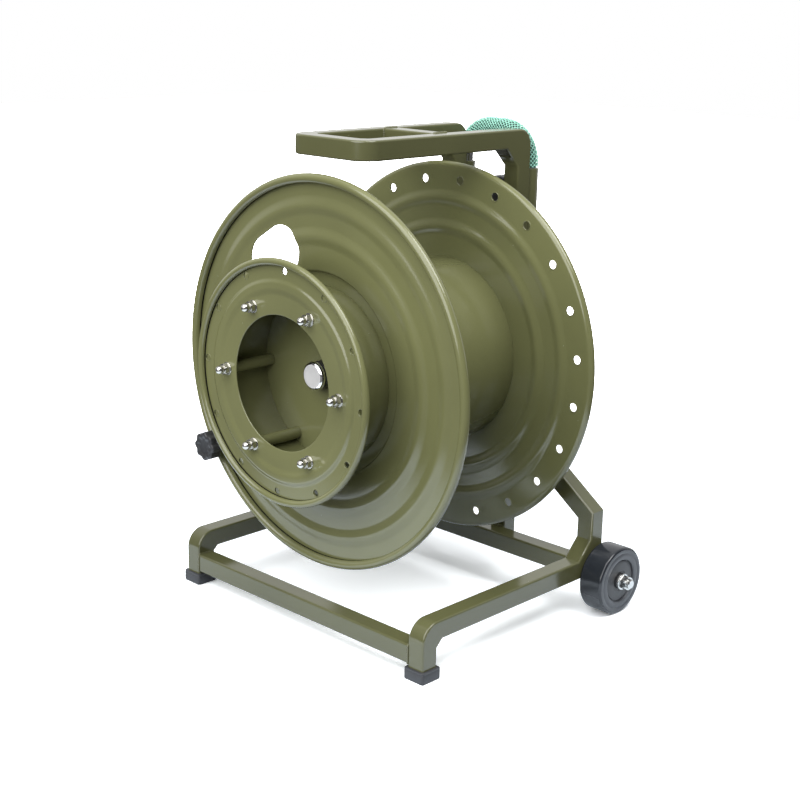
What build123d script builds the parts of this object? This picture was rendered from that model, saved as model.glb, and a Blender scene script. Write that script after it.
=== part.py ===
"""Cable reel on a welded square-tube stand: a sheet-metal drum with a pilot drum in front of it.

Millimetres, +Z up. The drum axis runs along Y, the open pilot side faces -Y, and the wheels are at +Y.
The origin is on the floor, under the middle of the whole reel.
"""
import os
from math import cos, radians, sin, sqrt, tan

from build123d import *

# Drum
FLANGE_DIAMETER = 380.0
CORE_DIAMETER = 190.0
PILOT_FLANGE_DIAMETER = 235.0
PILOT_CORE_DIAMETER = 172.0
WINDING_WIDTH = 169.5
PILOT_WIDTH = 49.25
SHEET = 1.5
CORE_WALL = 1.5
CORE_SEAT_DEPTH = 5.0
CORE_SEAT_SLOPE = 4.0

# Rolled rims and pressed ridges
RIM_BEAD = 9.0
PILOT_BEAD = 7.0
RIDGE_HEIGHT = 2.5
RIDGE_WIDTH = 16.0
RIDGE_SPACING = 29.0
FRONT_RIDGE_INSET = 30.0
REAR_RIDGE_INSET = 36.0
PILOT_RIDGE_HEIGHT = 2.0
PILOT_RIDGE_SHARE = 0.38

# Holes in the flanges
RIM_HOLE_COUNT = 23
RIM_HOLE_DIAMETER = 9.0
RIM_HOLE_INSET = 16.8
RIM_HOLE_PHASE = 6.0
PILOT_HOLE_COUNT = 12
PILOT_HOLE_DIAMETER = 7.0
PILOT_HOLE_INSET = 11.2
PILOT_HOLE_PHASE = -3.0
CABLE_HOLE_LENGTH = 74.0
CABLE_HOLE_WIDTH = 50.0
CABLE_HOLE_ANGLE = 122.0
CABLE_HOLE_LAND = 4.5

# Tie pillars between the sheets, with acorn nuts in front and hexagon nuts behind
PILLAR_COUNT = 6
PILLAR_DIAMETER = 12.0
PILLAR_GAP = 1.25
PILOT_PILLAR_LAND = 6.95
NUT_ACROSS_FLATS = 10.0
NUT_HEIGHT = 6.0
NUT_DOME_HEIGHT = 7.5
NUT_DOME_DIAMETER = 8.4
NUT_TIP_DIAMETER = 4.0
REAR_NUT_HEIGHT = 4.0

# Axle and hub
AXLE_DIAMETER = 20.0
AXLE_PLAY = 0.05
AXLE_REACH = 11.75
AXLE_PLATE_THICKNESS = 8.0
AXLE_PLATE_HEIGHT = 70.0
AXLE_COLLAR_DIAMETER = 36.0
AXLE_NUT_ACROSS_FLATS = 30.0
AXLE_NUT_HEIGHT = 8.0
AXLE_CAP_DIAMETER = 28.0
AXLE_CAP_THICKNESS = 6.0
HUB_WALL = 3.45
HUB_END_PLAY = 0.5
HUB_CAP_GAP = 1.0
HUB_PLATE_DIAMETER = 110.0
HUB_PLATE_THICKNESS = 3.0
HUB_BOSS_DIAMETER = 35.0
HUB_BOSS_HEIGHT = 6.0

# Hand knob on the front flange
KNOB_INSET = 17.0
KNOB_ANGLE = 214.6
KNOB_DIAMETER = 30.0
KNOB_BODY_DIAMETER = 21.8
KNOB_LOBES = 8
KNOB_LOBE_DIAMETER = 7.8
KNOB_LENGTH = 28.0
KNOB_HEAD = 13.0
KNOB_NECK_DIAMETER = 14.0
KNOB_GAP = 2.0
KNOB_STUD_DIAMETER = 6.0
KNOB_BORE_DEPTH = 21.0
KNOB_STUD_GAP = 1.0

# Stand
TUBE = 19.0
TUBE_CORNER = 2.0
STAND_WIDTH = 340.0
STAND_FRONT_REACH = 31.75
RAIL_TOP = 56.0
DRUM_CLEARANCE = 5.0
STAY_RISE = 47.0
STAY_ANGLE = 36.0
FOOT_WALL = 2.6
FOOT_HEIGHT = 11.6
FOOT_FLOOR = 3.0
CROSS_TUBE_GAP = 2.4
LEG_BEND_OUTER = 19.0
LEG_BEND_INNER = 7.0
REAR_BEND_INNER = 18.5
UPRIGHT_SET_BACK = 4.5

# Carry handle
HANDLE_WIDTH = 104.0
HANDLE_CLEARANCE = 14.0
HANDLE_FRONT = 83.5
HANDLE_CORNER = 20.0
HANDLE_BEND_OUTER = 16.0
HANDLE_BEND_INNER = 18.0
CROSS_BAR_FRONT = 27.0

# Pull handle
BAR_DIAMETER = 14.0
BAR_PLAY = 0.3
BAR_DROP = 2.0
BAR_TOP_FLAT = 18.0
BAR_BOTTOM = 108.0
SOCKET_WALL = 2.2
SOCKET_BOTTOM = 100.0
SOCKET_DROP = 5.0
NET_INSET = 0.2
NET_PLAY = 0.15
NET_SIDES = 8
NET_LEFT_END = 60.0
NET_GAP = 1.0

# Wheels
WHEEL_DIAMETER = 69.5
WHEEL_WIDTH = 27.0
WHEEL_SET_IN = 3.6
WHEEL_PLAY = 0.05
WHEEL_SIDE_PLAY = 1.0
WHEEL_CHAMFER = 3.0
WHEEL_HUB_DIAMETER = 44.0
WHEEL_HUB_DEPTH = 1.5
WHEEL_BOLT_DIAMETER = 10.0
WHEEL_BOLT_END = 3.0
WHEEL_BOLT_PLAY = 0.5
WHEEL_WASHER_DIAMETER = 17.0
WHEEL_WASHER_THICKNESS = 4.0
WHEEL_NUT_ACROSS_FLATS = 13.0
WHEEL_NUT_HEIGHT = 7.0
BRACKET_THICKNESS = 6.0
BRACKET_ROUND = 14.0

# Lock
LOCK_WIDTH = 16.0
LOCK_HEIGHT = 28.0
LOCK_PIN_DIAMETER = 5.0
LOCK_PIN_COVER = 0.5
LOCK_LENGTH = 25.0
LOCK_GAP = 9.25

# Places worked out from the sizes above, with the drum's middle at y = 0
FLANGE_R = FLANGE_DIAMETER / 2
CORE_R = CORE_DIAMETER / 2
FRONT_WEB = -WINDING_WIDTH / 2 - SHEET
REAR_WEB = WINDING_WIDTH / 2
SEAT_FACE = FRONT_WEB + CORE_SEAT_DEPTH
PILOT_WEB = FRONT_WEB - PILOT_WIDTH - SHEET
NUT_TIP = PILOT_WEB - NUT_HEIGHT - NUT_DOME_HEIGHT
RIM_HOLE_CIRCLE = FLANGE_DIAMETER - 2 * RIM_HOLE_INSET
PILOT_HOLE_CIRCLE = PILOT_FLANGE_DIAMETER - 2 * PILOT_HOLE_INSET
PILLAR_CIRCLE = min(CORE_DIAMETER, PILOT_CORE_DIAMETER) - 2 * (CORE_WALL + PILLAR_GAP) - PILLAR_DIAMETER
PILOT_OPENING_DIAMETER = PILLAR_CIRCLE - PILLAR_DIAMETER - 2 * PILOT_PILLAR_LAND
KNOB_CIRCLE = FLANGE_DIAMETER - 2 * KNOB_INSET
KNOB_FRONT = FRONT_WEB - KNOB_GAP - KNOB_LENGTH
KNOB_BACK = FRONT_WEB - KNOB_GAP

AXLE_HEIGHT = RAIL_TOP + DRUM_CLEARANCE + FLANGE_R
AXLE_R = AXLE_DIAMETER / 2
AXLE_FRONT = FRONT_WEB - AXLE_REACH + AXLE_CAP_THICKNESS
HUB_R = AXLE_R + AXLE_PLAY + HUB_WALL
HUB_PLATE_BACK = REAR_WEB + SHEET + HUB_PLATE_THICKNESS
HUB_END = HUB_PLATE_BACK + HUB_BOSS_HEIGHT

SIDE_X = STAND_WIDTH / 2
STAND_FRONT = FRONT_WEB - STAND_FRONT_REACH
RAIL_BOTTOM = RAIL_TOP - TUBE
STAY_CORNER = RAIL_TOP + STAY_RISE
LOCK_FRONT = REAR_WEB + RIM_BEAD + LOCK_GAP
REAR_FACE = LOCK_FRONT + LOCK_LENGTH
REAR_BACK = REAR_FACE + TUBE
REAR_BEND_OUTER = REAR_BEND_INNER + (2 - sqrt(2)) * TUBE
UPRIGHT_X = HANDLE_WIDTH / 2
UPRIGHT_INNER = UPRIGHT_X - TUBE
UPRIGHT_FRONT = REAR_FACE + UPRIGHT_SET_BACK
UPRIGHT_BACK = UPRIGHT_FRONT + TUBE
HANDLE_TOP = AXLE_HEIGHT + FLANGE_R + HANDLE_CLEARANCE + TUBE
HANDLE_BOTTOM = HANDLE_TOP - TUBE
HANDLE_INNER_CORNER = HANDLE_CORNER / 4
ARM_FRONT = -HANDLE_FRONT + TUBE + HANDLE_INNER_CORNER
AXLE_PLATE_FRONT = UPRIGHT_FRONT + (TUBE - AXLE_PLATE_THICKNESS) / 2
AXLE_PLATE_BACK = AXLE_PLATE_FRONT + AXLE_PLATE_THICKNESS

BAR_R = BAR_DIAMETER / 2
SOCKET_R = BAR_R + BAR_PLAY + SOCKET_WALL
BAR_X = UPRIGHT_X - TUBE / 2
BAR_BEND = BAR_X - BAR_TOP_FLAT / 2
BAR_Y = UPRIGHT_BACK + SOCKET_R
BAR_TOP = HANDLE_TOP - BAR_DROP
SOCKET_TOP = BAR_TOP - BAR_BEND - SOCKET_DROP
LOCK_X = UPRIGHT_INNER - LOCK_WIDTH / 2
LOCK_Z = AXLE_HEIGHT + sqrt((RIM_HOLE_CIRCLE / 2) ** 2 - LOCK_X ** 2)
LOCK_TOP = LOCK_Z + LOCK_PIN_DIAMETER / 2 + LOCK_PIN_COVER

WHEEL_R = WHEEL_DIAMETER / 2
WHEEL_Y = REAR_BACK - WHEEL_SET_IN
BRACKET_INNER = SIDE_X - BRACKET_THICKNESS
WHEEL_INNER_FACE = SIDE_X + WHEEL_SIDE_PLAY
WHEEL_OUTER_FACE = WHEEL_INNER_FACE + WHEEL_WIDTH
DEPTH_MIDDLE = (WHEEL_Y + WHEEL_R + NUT_TIP) / 2


def save(name, shape):
    """Write one piece, moved so that the origin is under the middle of the reel."""
    export_step(Pos(0, -DEPTH_MIDDLE, 0) * shape, f"parts/{name}.step")


def save_pair(name, right_piece):
    """Write a piece of the right side and its mirror image on the left."""
    save(f"{name}_right", right_piece)
    save(f"{name}_left", mirror(right_piece, about=Plane.YZ))


def turned(points):
    """Solid of revolution about the drum axis, from (radius, y) points."""
    outline = Polyline(*[(r, y, AXLE_HEIGHT) for r, y in points], close=True)
    return revolve(make_face(outline), Axis((0, 0, AXLE_HEIGHT), (0, 1, 0)))


def rod(x, z, radius, y_from, y_to):
    """Cylinder along Y between two y places."""
    plane = Plane((x, y_from, z), x_dir=(1, 0, 0), z_dir=(0, 1, 0))
    return extrude(plane * Circle(radius), y_to - y_from)


def hexagon(x, z, across_flats, y_from, y_to):
    """Six-sided prism along Y between two y places."""
    plane = Plane((x, y_from, z), x_dir=(1, 0, 0), z_dir=(0, 1, 0))
    return extrude(plane * RegularPolygon(across_flats / 2, 6, major_radius=False), y_to - y_from)


def on_circle(diameter, angle):
    """The (x, z) place at an angle on a circle about the drum axis."""
    r = diameter / 2
    return r * cos(radians(angle)), AXLE_HEIGHT + r * sin(radians(angle))


def ring_places(diameter, count, phase=0.0):
    """Evenly spaced (x, z) places on a circle about the drum axis."""
    return [on_circle(diameter, phase + i * 360 / count) for i in range(count)]


def box(x0, x1, y0, y1, z0, z1):
    """Box between two corners."""
    return Pos((x0 + x1) / 2, (y0 + y1) / 2, (z0 + z1) / 2) * Box(x1 - x0, y1 - y0, z1 - z0)


def square_tube(x0, x1, y0, y1, z0, z1):
    """Straight square tube along X with rounded long edges."""
    return fillet(box(x0, x1, y0, y1, z0, z1).edges().filter_by(Axis.X), TUBE_CORNER)


def lies_in(edge, axis, place):
    """Whether both ends of an edge lie in the plane across an axis at a place."""
    return all(abs((edge @ end).dot(axis.direction) - place) < TUBE_CORNER / 100 for end in (0, 1))


def rounded_tube(solid, side_axis, *ends):
    """Bent square tube with rounded long edges; its cut ends are given as (axis, place) and stay sharp."""
    edges = solid.faces().filter_by(side_axis).edges()
    for axis, place in ends:
        edges = edges.filter_by(lambda edge: not lies_in(edge, axis, place))
    return fillet(edges, TUBE_CORNER)


def side_outline(points):
    """Closed outline in the Y-Z plane from (y, z) points, for a tube bent in that plane."""
    return Plane.YZ * make_face(Polyline(*points, close=True))


def corner(sketch, y, z):
    """The corner of a Y-Z outline that is nearest to a place."""
    return sketch.vertices().sort_by_distance((0, y, z))[0]


def drum_plane(x, y, z):
    """Plane across the drum axis, facing back."""
    return Plane((x, y, z), x_dir=(1, 0, 0), z_dir=(0, 1, 0))


# Sheet-metal drum


def rolled_flange(front_points, bead, rim_r, bead_y):
    """Pressed disc from the (radius, y) points of its front face, with a rolled bead on its rim."""
    back_points = [(r, y + SHEET) for r, y in reversed(front_points)]
    web = turned(front_points + back_points)
    bead_plane = Plane((rim_r - bead / 2, bead_y, AXLE_HEIGHT), x_dir=(1, 0, 0), z_dir=(0, 0, 1))
    section = RegularPolygon(bead / 2, 6, major_radius=False, rotation=30)
    return web + revolve(bead_plane * section, Axis((0, 0, AXLE_HEIGHT), (0, 1, 0)))


def ridged_front(inner_points, ridge_inset, web_y):
    """Front face points of a large flange: the given middle, then two pressed ridges up to the rim."""
    points = list(inner_points)
    outer_ridge = FLANGE_R - ridge_inset
    for crest in (outer_ridge - RIDGE_SPACING, outer_ridge):
        points.append((crest - RIDGE_WIDTH / 2, web_y))
        points.append((crest, web_y - RIDGE_HEIGHT))
        points.append((crest + RIDGE_WIDTH / 2, web_y))
    points.append((FLANGE_R - RIM_BEAD / 2, web_y))
    return points


def drilled(shape, places, diameter, y_from, y_to):
    """The shape with round holes along Y between two y places."""
    for x, z in places:
        shape -= rod(x, z, diameter / 2, y_from, y_to)
    return shape


PILLAR_PLACES = ring_places(PILLAR_CIRCLE, PILLAR_COUNT)
KNOB_X, KNOB_Z = on_circle(KNOB_CIRCLE, KNOB_ANGLE)


def make_front_flange():
    """Flange with a recessed seat for the cores, the cable opening and the hole for the knob's stud."""
    seat_r = max(CORE_DIAMETER, PILOT_CORE_DIAMETER) / 2 + SHEET
    slope_r = seat_r + CORE_SEAT_SLOPE
    middle = [(HUB_R, SEAT_FACE), (seat_r, SEAT_FACE), (slope_r, FRONT_WEB)]
    points = ridged_front(middle, FRONT_RIDGE_INSET, FRONT_WEB)
    flange = rolled_flange(points, RIM_BEAD, FLANGE_R, FRONT_WEB + SHEET - RIM_BEAD / 2)
    hole_r = CORE_R + CABLE_HOLE_LAND + CABLE_HOLE_WIDTH / 2
    x, z = on_circle(2 * hole_r, CABLE_HOLE_ANGLE)
    slot = SlotOverall(CABLE_HOLE_LENGTH, CABLE_HOLE_WIDTH, rotation=90 - CABLE_HOLE_ANGLE)
    cut_depth = RIDGE_HEIGHT + CORE_SEAT_DEPTH + SHEET
    flange -= extrude(drum_plane(x, FRONT_WEB, z) * slot, cut_depth, both=True)
    return drilled(flange, [(KNOB_X, KNOB_Z)], KNOB_STUD_DIAMETER, FRONT_WEB - RIM_BEAD, FRONT_WEB + SHEET)


def make_rear_flange():
    """Flange with the ring of lock holes near its rim."""
    points = ridged_front([(HUB_R, REAR_WEB)], REAR_RIDGE_INSET, REAR_WEB)
    flange = rolled_flange(points, RIM_BEAD, FLANGE_R, REAR_WEB + RIM_BEAD / 2)
    holes = ring_places(RIM_HOLE_CIRCLE, RIM_HOLE_COUNT, RIM_HOLE_PHASE)
    return drilled(flange, holes, RIM_HOLE_DIAMETER, REAR_WEB - RIDGE_HEIGHT, REAR_WEB + RIM_BEAD)


def make_pilot_flange():
    """Smaller front flange with a wide opening, a pressed ridge around the core and a ring of tie holes."""
    rim_r = PILOT_FLANGE_DIAMETER / 2
    core_r = PILOT_CORE_DIAMETER / 2
    ridge_step = PILOT_RIDGE_SHARE * (rim_r - core_r) / 3
    crest_y = PILOT_WEB - PILOT_RIDGE_HEIGHT
    front = [
        (PILOT_OPENING_DIAMETER / 2, PILOT_WEB),
        (core_r, PILOT_WEB),
        (core_r + ridge_step, crest_y),
        (core_r + 2 * ridge_step, crest_y),
        (core_r + 3 * ridge_step, PILOT_WEB),
        (rim_r - PILOT_BEAD / 2, PILOT_WEB),
    ]
    flange = rolled_flange(front, PILOT_BEAD, rim_r, PILOT_WEB + SHEET - PILOT_BEAD / 2)
    holes = ring_places(PILOT_HOLE_CIRCLE, PILOT_HOLE_COUNT, PILOT_HOLE_PHASE)
    return drilled(flange, holes, PILOT_HOLE_DIAMETER, PILOT_WEB - PILOT_BEAD, PILOT_WEB + SHEET)


def drum_tube(diameter, y_from, y_to):
    """Rolled tube on the drum axis."""
    outer = diameter / 2
    inner = outer - CORE_WALL
    return turned([(inner, y_from), (outer, y_from), (outer, y_to), (inner, y_to)])


def make_hub():
    """Tube that turns on the axle, with the plate that is fixed to the back of the rear flange."""
    front = AXLE_FRONT + HUB_CAP_GAP
    bore = AXLE_R + AXLE_PLAY
    return turned([
        (bore, front),
        (HUB_R, front),
        (HUB_R, REAR_WEB + SHEET),
        (HUB_PLATE_DIAMETER / 2, REAR_WEB + SHEET),
        (HUB_PLATE_DIAMETER / 2, HUB_PLATE_BACK),
        (HUB_BOSS_DIAMETER / 2, HUB_PLATE_BACK),
        (HUB_BOSS_DIAMETER / 2, HUB_END),
        (bore, HUB_END),
    ])


def pillars(y_from, y_to):
    """The tie pillars of one section of the drum."""
    return Compound([rod(x, z, PILLAR_DIAMETER / 2, y_from, y_to) for x, z in PILLAR_PLACES])


def acorn_nut(x, z):
    """Hexagon with a domed cap, on the pilot flange."""
    hexagon_front = PILOT_WEB - NUT_HEIGHT
    shoulder = (NUT_DOME_DIAMETER - NUT_TIP_DIAMETER) / 2
    dome = rod(x, z, NUT_DOME_DIAMETER / 2, NUT_TIP, hexagon_front)
    rim = dome.faces().sort_by(Axis.Y)[0].edges()
    return hexagon(x, z, NUT_ACROSS_FLATS, hexagon_front, PILOT_WEB) + chamfer(rim, shoulder)


def make_hand_knob():
    """Star knob with a neck, bored for its stud."""
    lobe_circle = (KNOB_DIAMETER - KNOB_LOBE_DIAMETER) / 2
    star = Circle(KNOB_BODY_DIAMETER / 2)
    for i in range(KNOB_LOBES):
        star += Rot(0, 0, i * 360 / KNOB_LOBES) * Pos(lobe_circle, 0) * Circle(KNOB_LOBE_DIAMETER / 2)
    head = extrude(drum_plane(KNOB_X, KNOB_FRONT, KNOB_Z) * star, KNOB_HEAD)
    neck = rod(KNOB_X, KNOB_Z, KNOB_NECK_DIAMETER / 2, KNOB_FRONT + KNOB_HEAD, KNOB_BACK)
    bore = rod(KNOB_X, KNOB_Z, KNOB_STUD_DIAMETER / 2 + AXLE_PLAY, KNOB_BACK - KNOB_BORE_DEPTH, KNOB_BACK)
    return head + neck - bore


def make_knob_stud():
    """Stud of the hand knob, fixed in the front flange."""
    front = KNOB_BACK - KNOB_BORE_DEPTH + KNOB_STUD_GAP
    return rod(KNOB_X, KNOB_Z, KNOB_STUD_DIAMETER / 2, front, FRONT_WEB + SHEET)


# Stand


def make_side_tube():
    """Right side tube: front leg, rail, rear rise and the slanted stay to the upright."""
    rise_top = STAY_CORNER - TUBE
    outline = side_outline([
        (STAND_FRONT, FOOT_FLOOR),
        (STAND_FRONT, RAIL_TOP),
        (REAR_FACE - REAR_BEND_INNER, RAIL_TOP),
        (REAR_FACE, RAIL_TOP + REAR_BEND_INNER),
        (REAR_FACE, rise_top),
        (REAR_BACK, rise_top),
        (REAR_BACK, RAIL_BOTTOM + REAR_BEND_OUTER),
        (REAR_BACK - REAR_BEND_OUTER, RAIL_BOTTOM),
        (STAND_FRONT + TUBE, RAIL_BOTTOM),
        (STAND_FRONT + TUBE, FOOT_FLOOR),
    ])
    outline = fillet(corner(outline, STAND_FRONT, RAIL_TOP), LEG_BEND_OUTER)
    outline = chamfer(corner(outline, STAND_FRONT + TUBE, RAIL_BOTTOM), LEG_BEND_INNER)
    bent = Pos(SIDE_X - TUBE, 0, 0) * extrude(outline, TUBE, dir=(1, 0, 0))
    bent = rounded_tube(bent, Axis.X, (Axis.Z, FOOT_FLOOR), (Axis.Z, rise_top))
    slope = tan(radians(STAY_ANGLE))
    thickness = TUBE / cos(radians(STAY_ANGLE))
    stay_top = STAY_CORNER + (SIDE_X - UPRIGHT_X) * slope
    stay_outline = Plane.XZ * make_face(Polyline(
        (SIDE_X, rise_top),
        (SIDE_X, STAY_CORNER),
        (UPRIGHT_X, stay_top),
        (UPRIGHT_X, stay_top - thickness),
        (SIDE_X - TUBE, STAY_CORNER - thickness + TUBE * slope),
        (SIDE_X - TUBE, rise_top),
        close=True,
    ))
    stay = Pos(0, REAR_FACE, 0) * extrude(stay_outline, TUBE, dir=(0, 1, 0))
    return bent + rounded_tube(stay, Axis.Y, (Axis.Z, rise_top), (Axis.X, UPRIGHT_X))


def make_upright():
    """Right upright, bent forward at the top into one arm of the carry handle."""
    outline = side_outline([
        (UPRIGHT_FRONT, RAIL_BOTTOM),
        (UPRIGHT_FRONT, HANDLE_BOTTOM - HANDLE_BEND_INNER),
        (UPRIGHT_FRONT - HANDLE_BEND_INNER, HANDLE_BOTTOM),
        (ARM_FRONT, HANDLE_BOTTOM),
        (ARM_FRONT, HANDLE_TOP),
        (UPRIGHT_BACK, HANDLE_TOP),
        (UPRIGHT_BACK, RAIL_BOTTOM),
    ])
    outline = fillet(corner(outline, UPRIGHT_BACK, HANDLE_TOP), HANDLE_BEND_OUTER)
    upright = Pos(UPRIGHT_INNER, 0, 0) * extrude(outline, TUBE, dir=(1, 0, 0))
    return rounded_tube(upright, Axis.X, (Axis.Z, RAIL_BOTTOM), (Axis.Y, ARM_FRONT))


def make_handle_front_bar():
    """Front bar of the carry handle, bent round at each corner."""
    front = -HANDLE_FRONT
    outline = make_face(Polyline(
        (-UPRIGHT_X, ARM_FRONT),
        (-UPRIGHT_X, front),
        (UPRIGHT_X, front),
        (UPRIGHT_X, ARM_FRONT),
        (UPRIGHT_INNER, ARM_FRONT),
        (UPRIGHT_INNER - HANDLE_INNER_CORNER, front + TUBE),
        (HANDLE_INNER_CORNER - UPRIGHT_INNER, front + TUBE),
        (-UPRIGHT_INNER, ARM_FRONT),
        close=True,
    ))
    outer_corners = outline.vertices().group_by(Axis.Y)[0]
    outline = fillet(outer_corners, HANDLE_CORNER)
    bar = Pos(0, 0, HANDLE_BOTTOM) * extrude(outline, TUBE)
    return rounded_tube(bar, Axis.Z, (Axis.Y, ARM_FRONT))


def make_foot():
    """Right rubber foot: a square cap that the leg stands in."""
    leg = box(SIDE_X - TUBE, SIDE_X, STAND_FRONT, STAND_FRONT + TUBE, FOOT_FLOOR, FOOT_HEIGHT)
    cap = box(
        SIDE_X - TUBE - FOOT_WALL,
        SIDE_X + FOOT_WALL,
        STAND_FRONT - FOOT_WALL,
        STAND_FRONT + TUBE + FOOT_WALL,
        0,
        FOOT_HEIGHT,
    )
    upright_edges = cap.edges().filter_by(Axis.Z)
    return fillet(upright_edges, TUBE_CORNER) - leg


def make_axle():
    """Fixed shaft of the drum, with a stop collar behind the hub and a nut behind its plate."""
    shaft = rod(0, AXLE_HEIGHT, AXLE_R, AXLE_FRONT, AXLE_PLATE_BACK)
    collar = rod(0, AXLE_HEIGHT, AXLE_COLLAR_DIAMETER / 2, HUB_END + HUB_END_PLAY, AXLE_PLATE_FRONT)
    nut_back = AXLE_PLATE_BACK + AXLE_NUT_HEIGHT
    return shaft + collar + hexagon(0, AXLE_HEIGHT, AXLE_NUT_ACROSS_FLATS, AXLE_PLATE_BACK, nut_back)


def make_axle_plate():
    """Plate between the uprights that carries the axle."""
    bottom = AXLE_HEIGHT - AXLE_PLATE_HEIGHT / 2
    top = AXLE_HEIGHT + AXLE_PLATE_HEIGHT / 2
    plate = box(-UPRIGHT_INNER, UPRIGHT_INNER, AXLE_PLATE_FRONT, AXLE_PLATE_BACK, bottom, top)
    return plate - rod(0, AXLE_HEIGHT, AXLE_R, AXLE_PLATE_FRONT, AXLE_PLATE_BACK)


def make_drum_lock():
    """Lock on the inner side of the right upright: a block and the pin that points at the rim holes."""
    bottom = LOCK_TOP - LOCK_HEIGHT
    block = box(UPRIGHT_INNER - LOCK_WIDTH, UPRIGHT_INNER, UPRIGHT_FRONT, UPRIGHT_BACK, bottom, LOCK_TOP)
    return block + rod(LOCK_X, LOCK_Z, LOCK_PIN_DIAMETER / 2, LOCK_FRONT, UPRIGHT_FRONT)


# Pull handle


def make_pull_handle():
    """Bent round bar that slides in the two sockets."""
    path = FilletPolyline(
        (-BAR_X, BAR_Y, BAR_BOTTOM),
        (-BAR_X, BAR_Y, BAR_TOP),
        (BAR_X, BAR_Y, BAR_TOP),
        (BAR_X, BAR_Y, BAR_BOTTOM),
        radius=BAR_BEND,
    )
    start = Plane((-BAR_X, BAR_Y, BAR_BOTTOM), z_dir=(0, 0, 1))
    return sweep(start * Circle(BAR_R), path)


def make_net_sleeve():
    """Thin sleeve over the right bend, the top and part of the left bend of the pull handle."""
    bend_x = BAR_X - BAR_BEND
    bend_z = BAR_TOP - BAR_BEND

    def on_bend(side, angle):
        """Place on the bar's line at an angle from the top of the left (-1) or right (1) bend."""
        out = BAR_BEND * sin(radians(angle))
        return side * (bend_x + out), BAR_Y, bend_z + BAR_BEND * cos(radians(angle))

    path = Wire([
        ThreePointArc(on_bend(-1, NET_LEFT_END), on_bend(-1, NET_LEFT_END / 2), on_bend(-1, 0)),
        Line(on_bend(-1, 0), on_bend(1, 0)),
        ThreePointArc(on_bend(1, 0), on_bend(1, 45), on_bend(1, 90)),
        Line(on_bend(1, 90), (BAR_X, BAR_Y, SOCKET_TOP + NET_GAP)),
    ])
    inner = BAR_R + NET_PLAY
    turn = 180 / NET_SIDES
    outside = RegularPolygon(SOCKET_R - NET_INSET, NET_SIDES, major_radius=False, rotation=turn)
    inside = RegularPolygon(inner, NET_SIDES, major_radius=False, rotation=turn)
    start = Plane(on_bend(-1, NET_LEFT_END), x_dir=(0, 1, 0), z_dir=path % 0)
    return sweep(start * (outside - inside), path)


def make_socket():
    """Right socket tube of the pull handle."""
    ring = Circle(SOCKET_R) - Circle(BAR_R + BAR_PLAY)
    return extrude(Plane((BAR_X, BAR_Y, SOCKET_BOTTOM)) * ring, SOCKET_TOP - SOCKET_BOTTOM)


# Wheels


def wheel_plane(x):
    """Plane across the right wheel's axis at an x place, facing outward."""
    return Plane((x, WHEEL_Y, WHEEL_R), x_dir=(0, 1, 0), z_dir=(1, 0, 0))


def across(x_from, x_to, radius):
    """Cylinder on the right wheel's axis between two x places."""
    return extrude(wheel_plane(x_from) * Circle(radius), x_to - x_from)


def make_wheel():
    """Right wheel: chamfered tread and a sunk hub on the outer face."""
    wheel = across(WHEEL_INNER_FACE, WHEEL_OUTER_FACE, WHEEL_R)
    wheel = chamfer(wheel.edges().filter_by(GeomType.CIRCLE), WHEEL_CHAMFER)
    wheel -= across(WHEEL_OUTER_FACE - WHEEL_HUB_DEPTH, WHEEL_OUTER_FACE, WHEEL_HUB_DIAMETER / 2)
    return wheel - across(WHEEL_INNER_FACE, WHEEL_OUTER_FACE, WHEEL_BOLT_DIAMETER / 2 + WHEEL_PLAY)


def make_wheel_bracket():
    """Plate under the rear bend, level with the outside of the tube, that carries the wheel's bolt."""
    plate = side_outline([
        (REAR_BACK - REAR_BEND_OUTER, RAIL_BOTTOM),
        (REAR_BACK, RAIL_BOTTOM + REAR_BEND_OUTER),
        (WHEEL_Y + BRACKET_ROUND, WHEEL_R),
        (WHEEL_Y - BRACKET_ROUND, WHEEL_R),
    ])
    bracket = Pos(BRACKET_INNER, 0, 0) * extrude(plate, BRACKET_THICKNESS, dir=(1, 0, 0))
    bracket += across(BRACKET_INNER, SIDE_X, BRACKET_ROUND)
    return bracket - across(BRACKET_INNER, SIDE_X, WHEEL_BOLT_DIAMETER / 2)


def make_wheel_bolt():
    """Bolt of the right wheel with the washer and nut on its outer end."""
    washer = WHEEL_OUTER_FACE - WHEEL_HUB_DEPTH + WHEEL_BOLT_PLAY
    nut = washer + WHEEL_WASHER_THICKNESS
    nut_end = nut + WHEEL_NUT_HEIGHT
    bolt = across(BRACKET_INNER, nut_end + WHEEL_BOLT_END, WHEEL_BOLT_DIAMETER / 2)
    bolt += across(washer, nut, WHEEL_WASHER_DIAMETER / 2)
    outline = RegularPolygon(WHEEL_NUT_ACROSS_FLATS / 2, 6, major_radius=False)
    return bolt + extrude(wheel_plane(nut) * outline, WHEEL_NUT_HEIGHT)


def write_drum():
    save("front_flange", make_front_flange())
    save("rear_flange", make_rear_flange())
    save("pilot_flange", make_pilot_flange())
    save("main_core", drum_tube(CORE_DIAMETER, SEAT_FACE + SHEET, REAR_WEB))
    save("pilot_core", drum_tube(PILOT_CORE_DIAMETER, PILOT_WEB + SHEET, SEAT_FACE))
    save("hub", make_hub())
    save("main_pillars", pillars(SEAT_FACE + SHEET, REAR_WEB))
    save("pilot_pillars", pillars(PILOT_WEB + SHEET, SEAT_FACE))
    save("acorn_nuts", Compound([acorn_nut(x, z) for x, z in PILLAR_PLACES]))
    nut_face = REAR_WEB + SHEET
    nut_back = nut_face + REAR_NUT_HEIGHT
    rear_nuts = [hexagon(x, z, NUT_ACROSS_FLATS, nut_face, nut_back) for x, z in PILLAR_PLACES]
    save("rear_nuts", Compound(rear_nuts))
    save("knob_stud", make_knob_stud())
    save("hand_knob", make_hand_knob())


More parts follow.
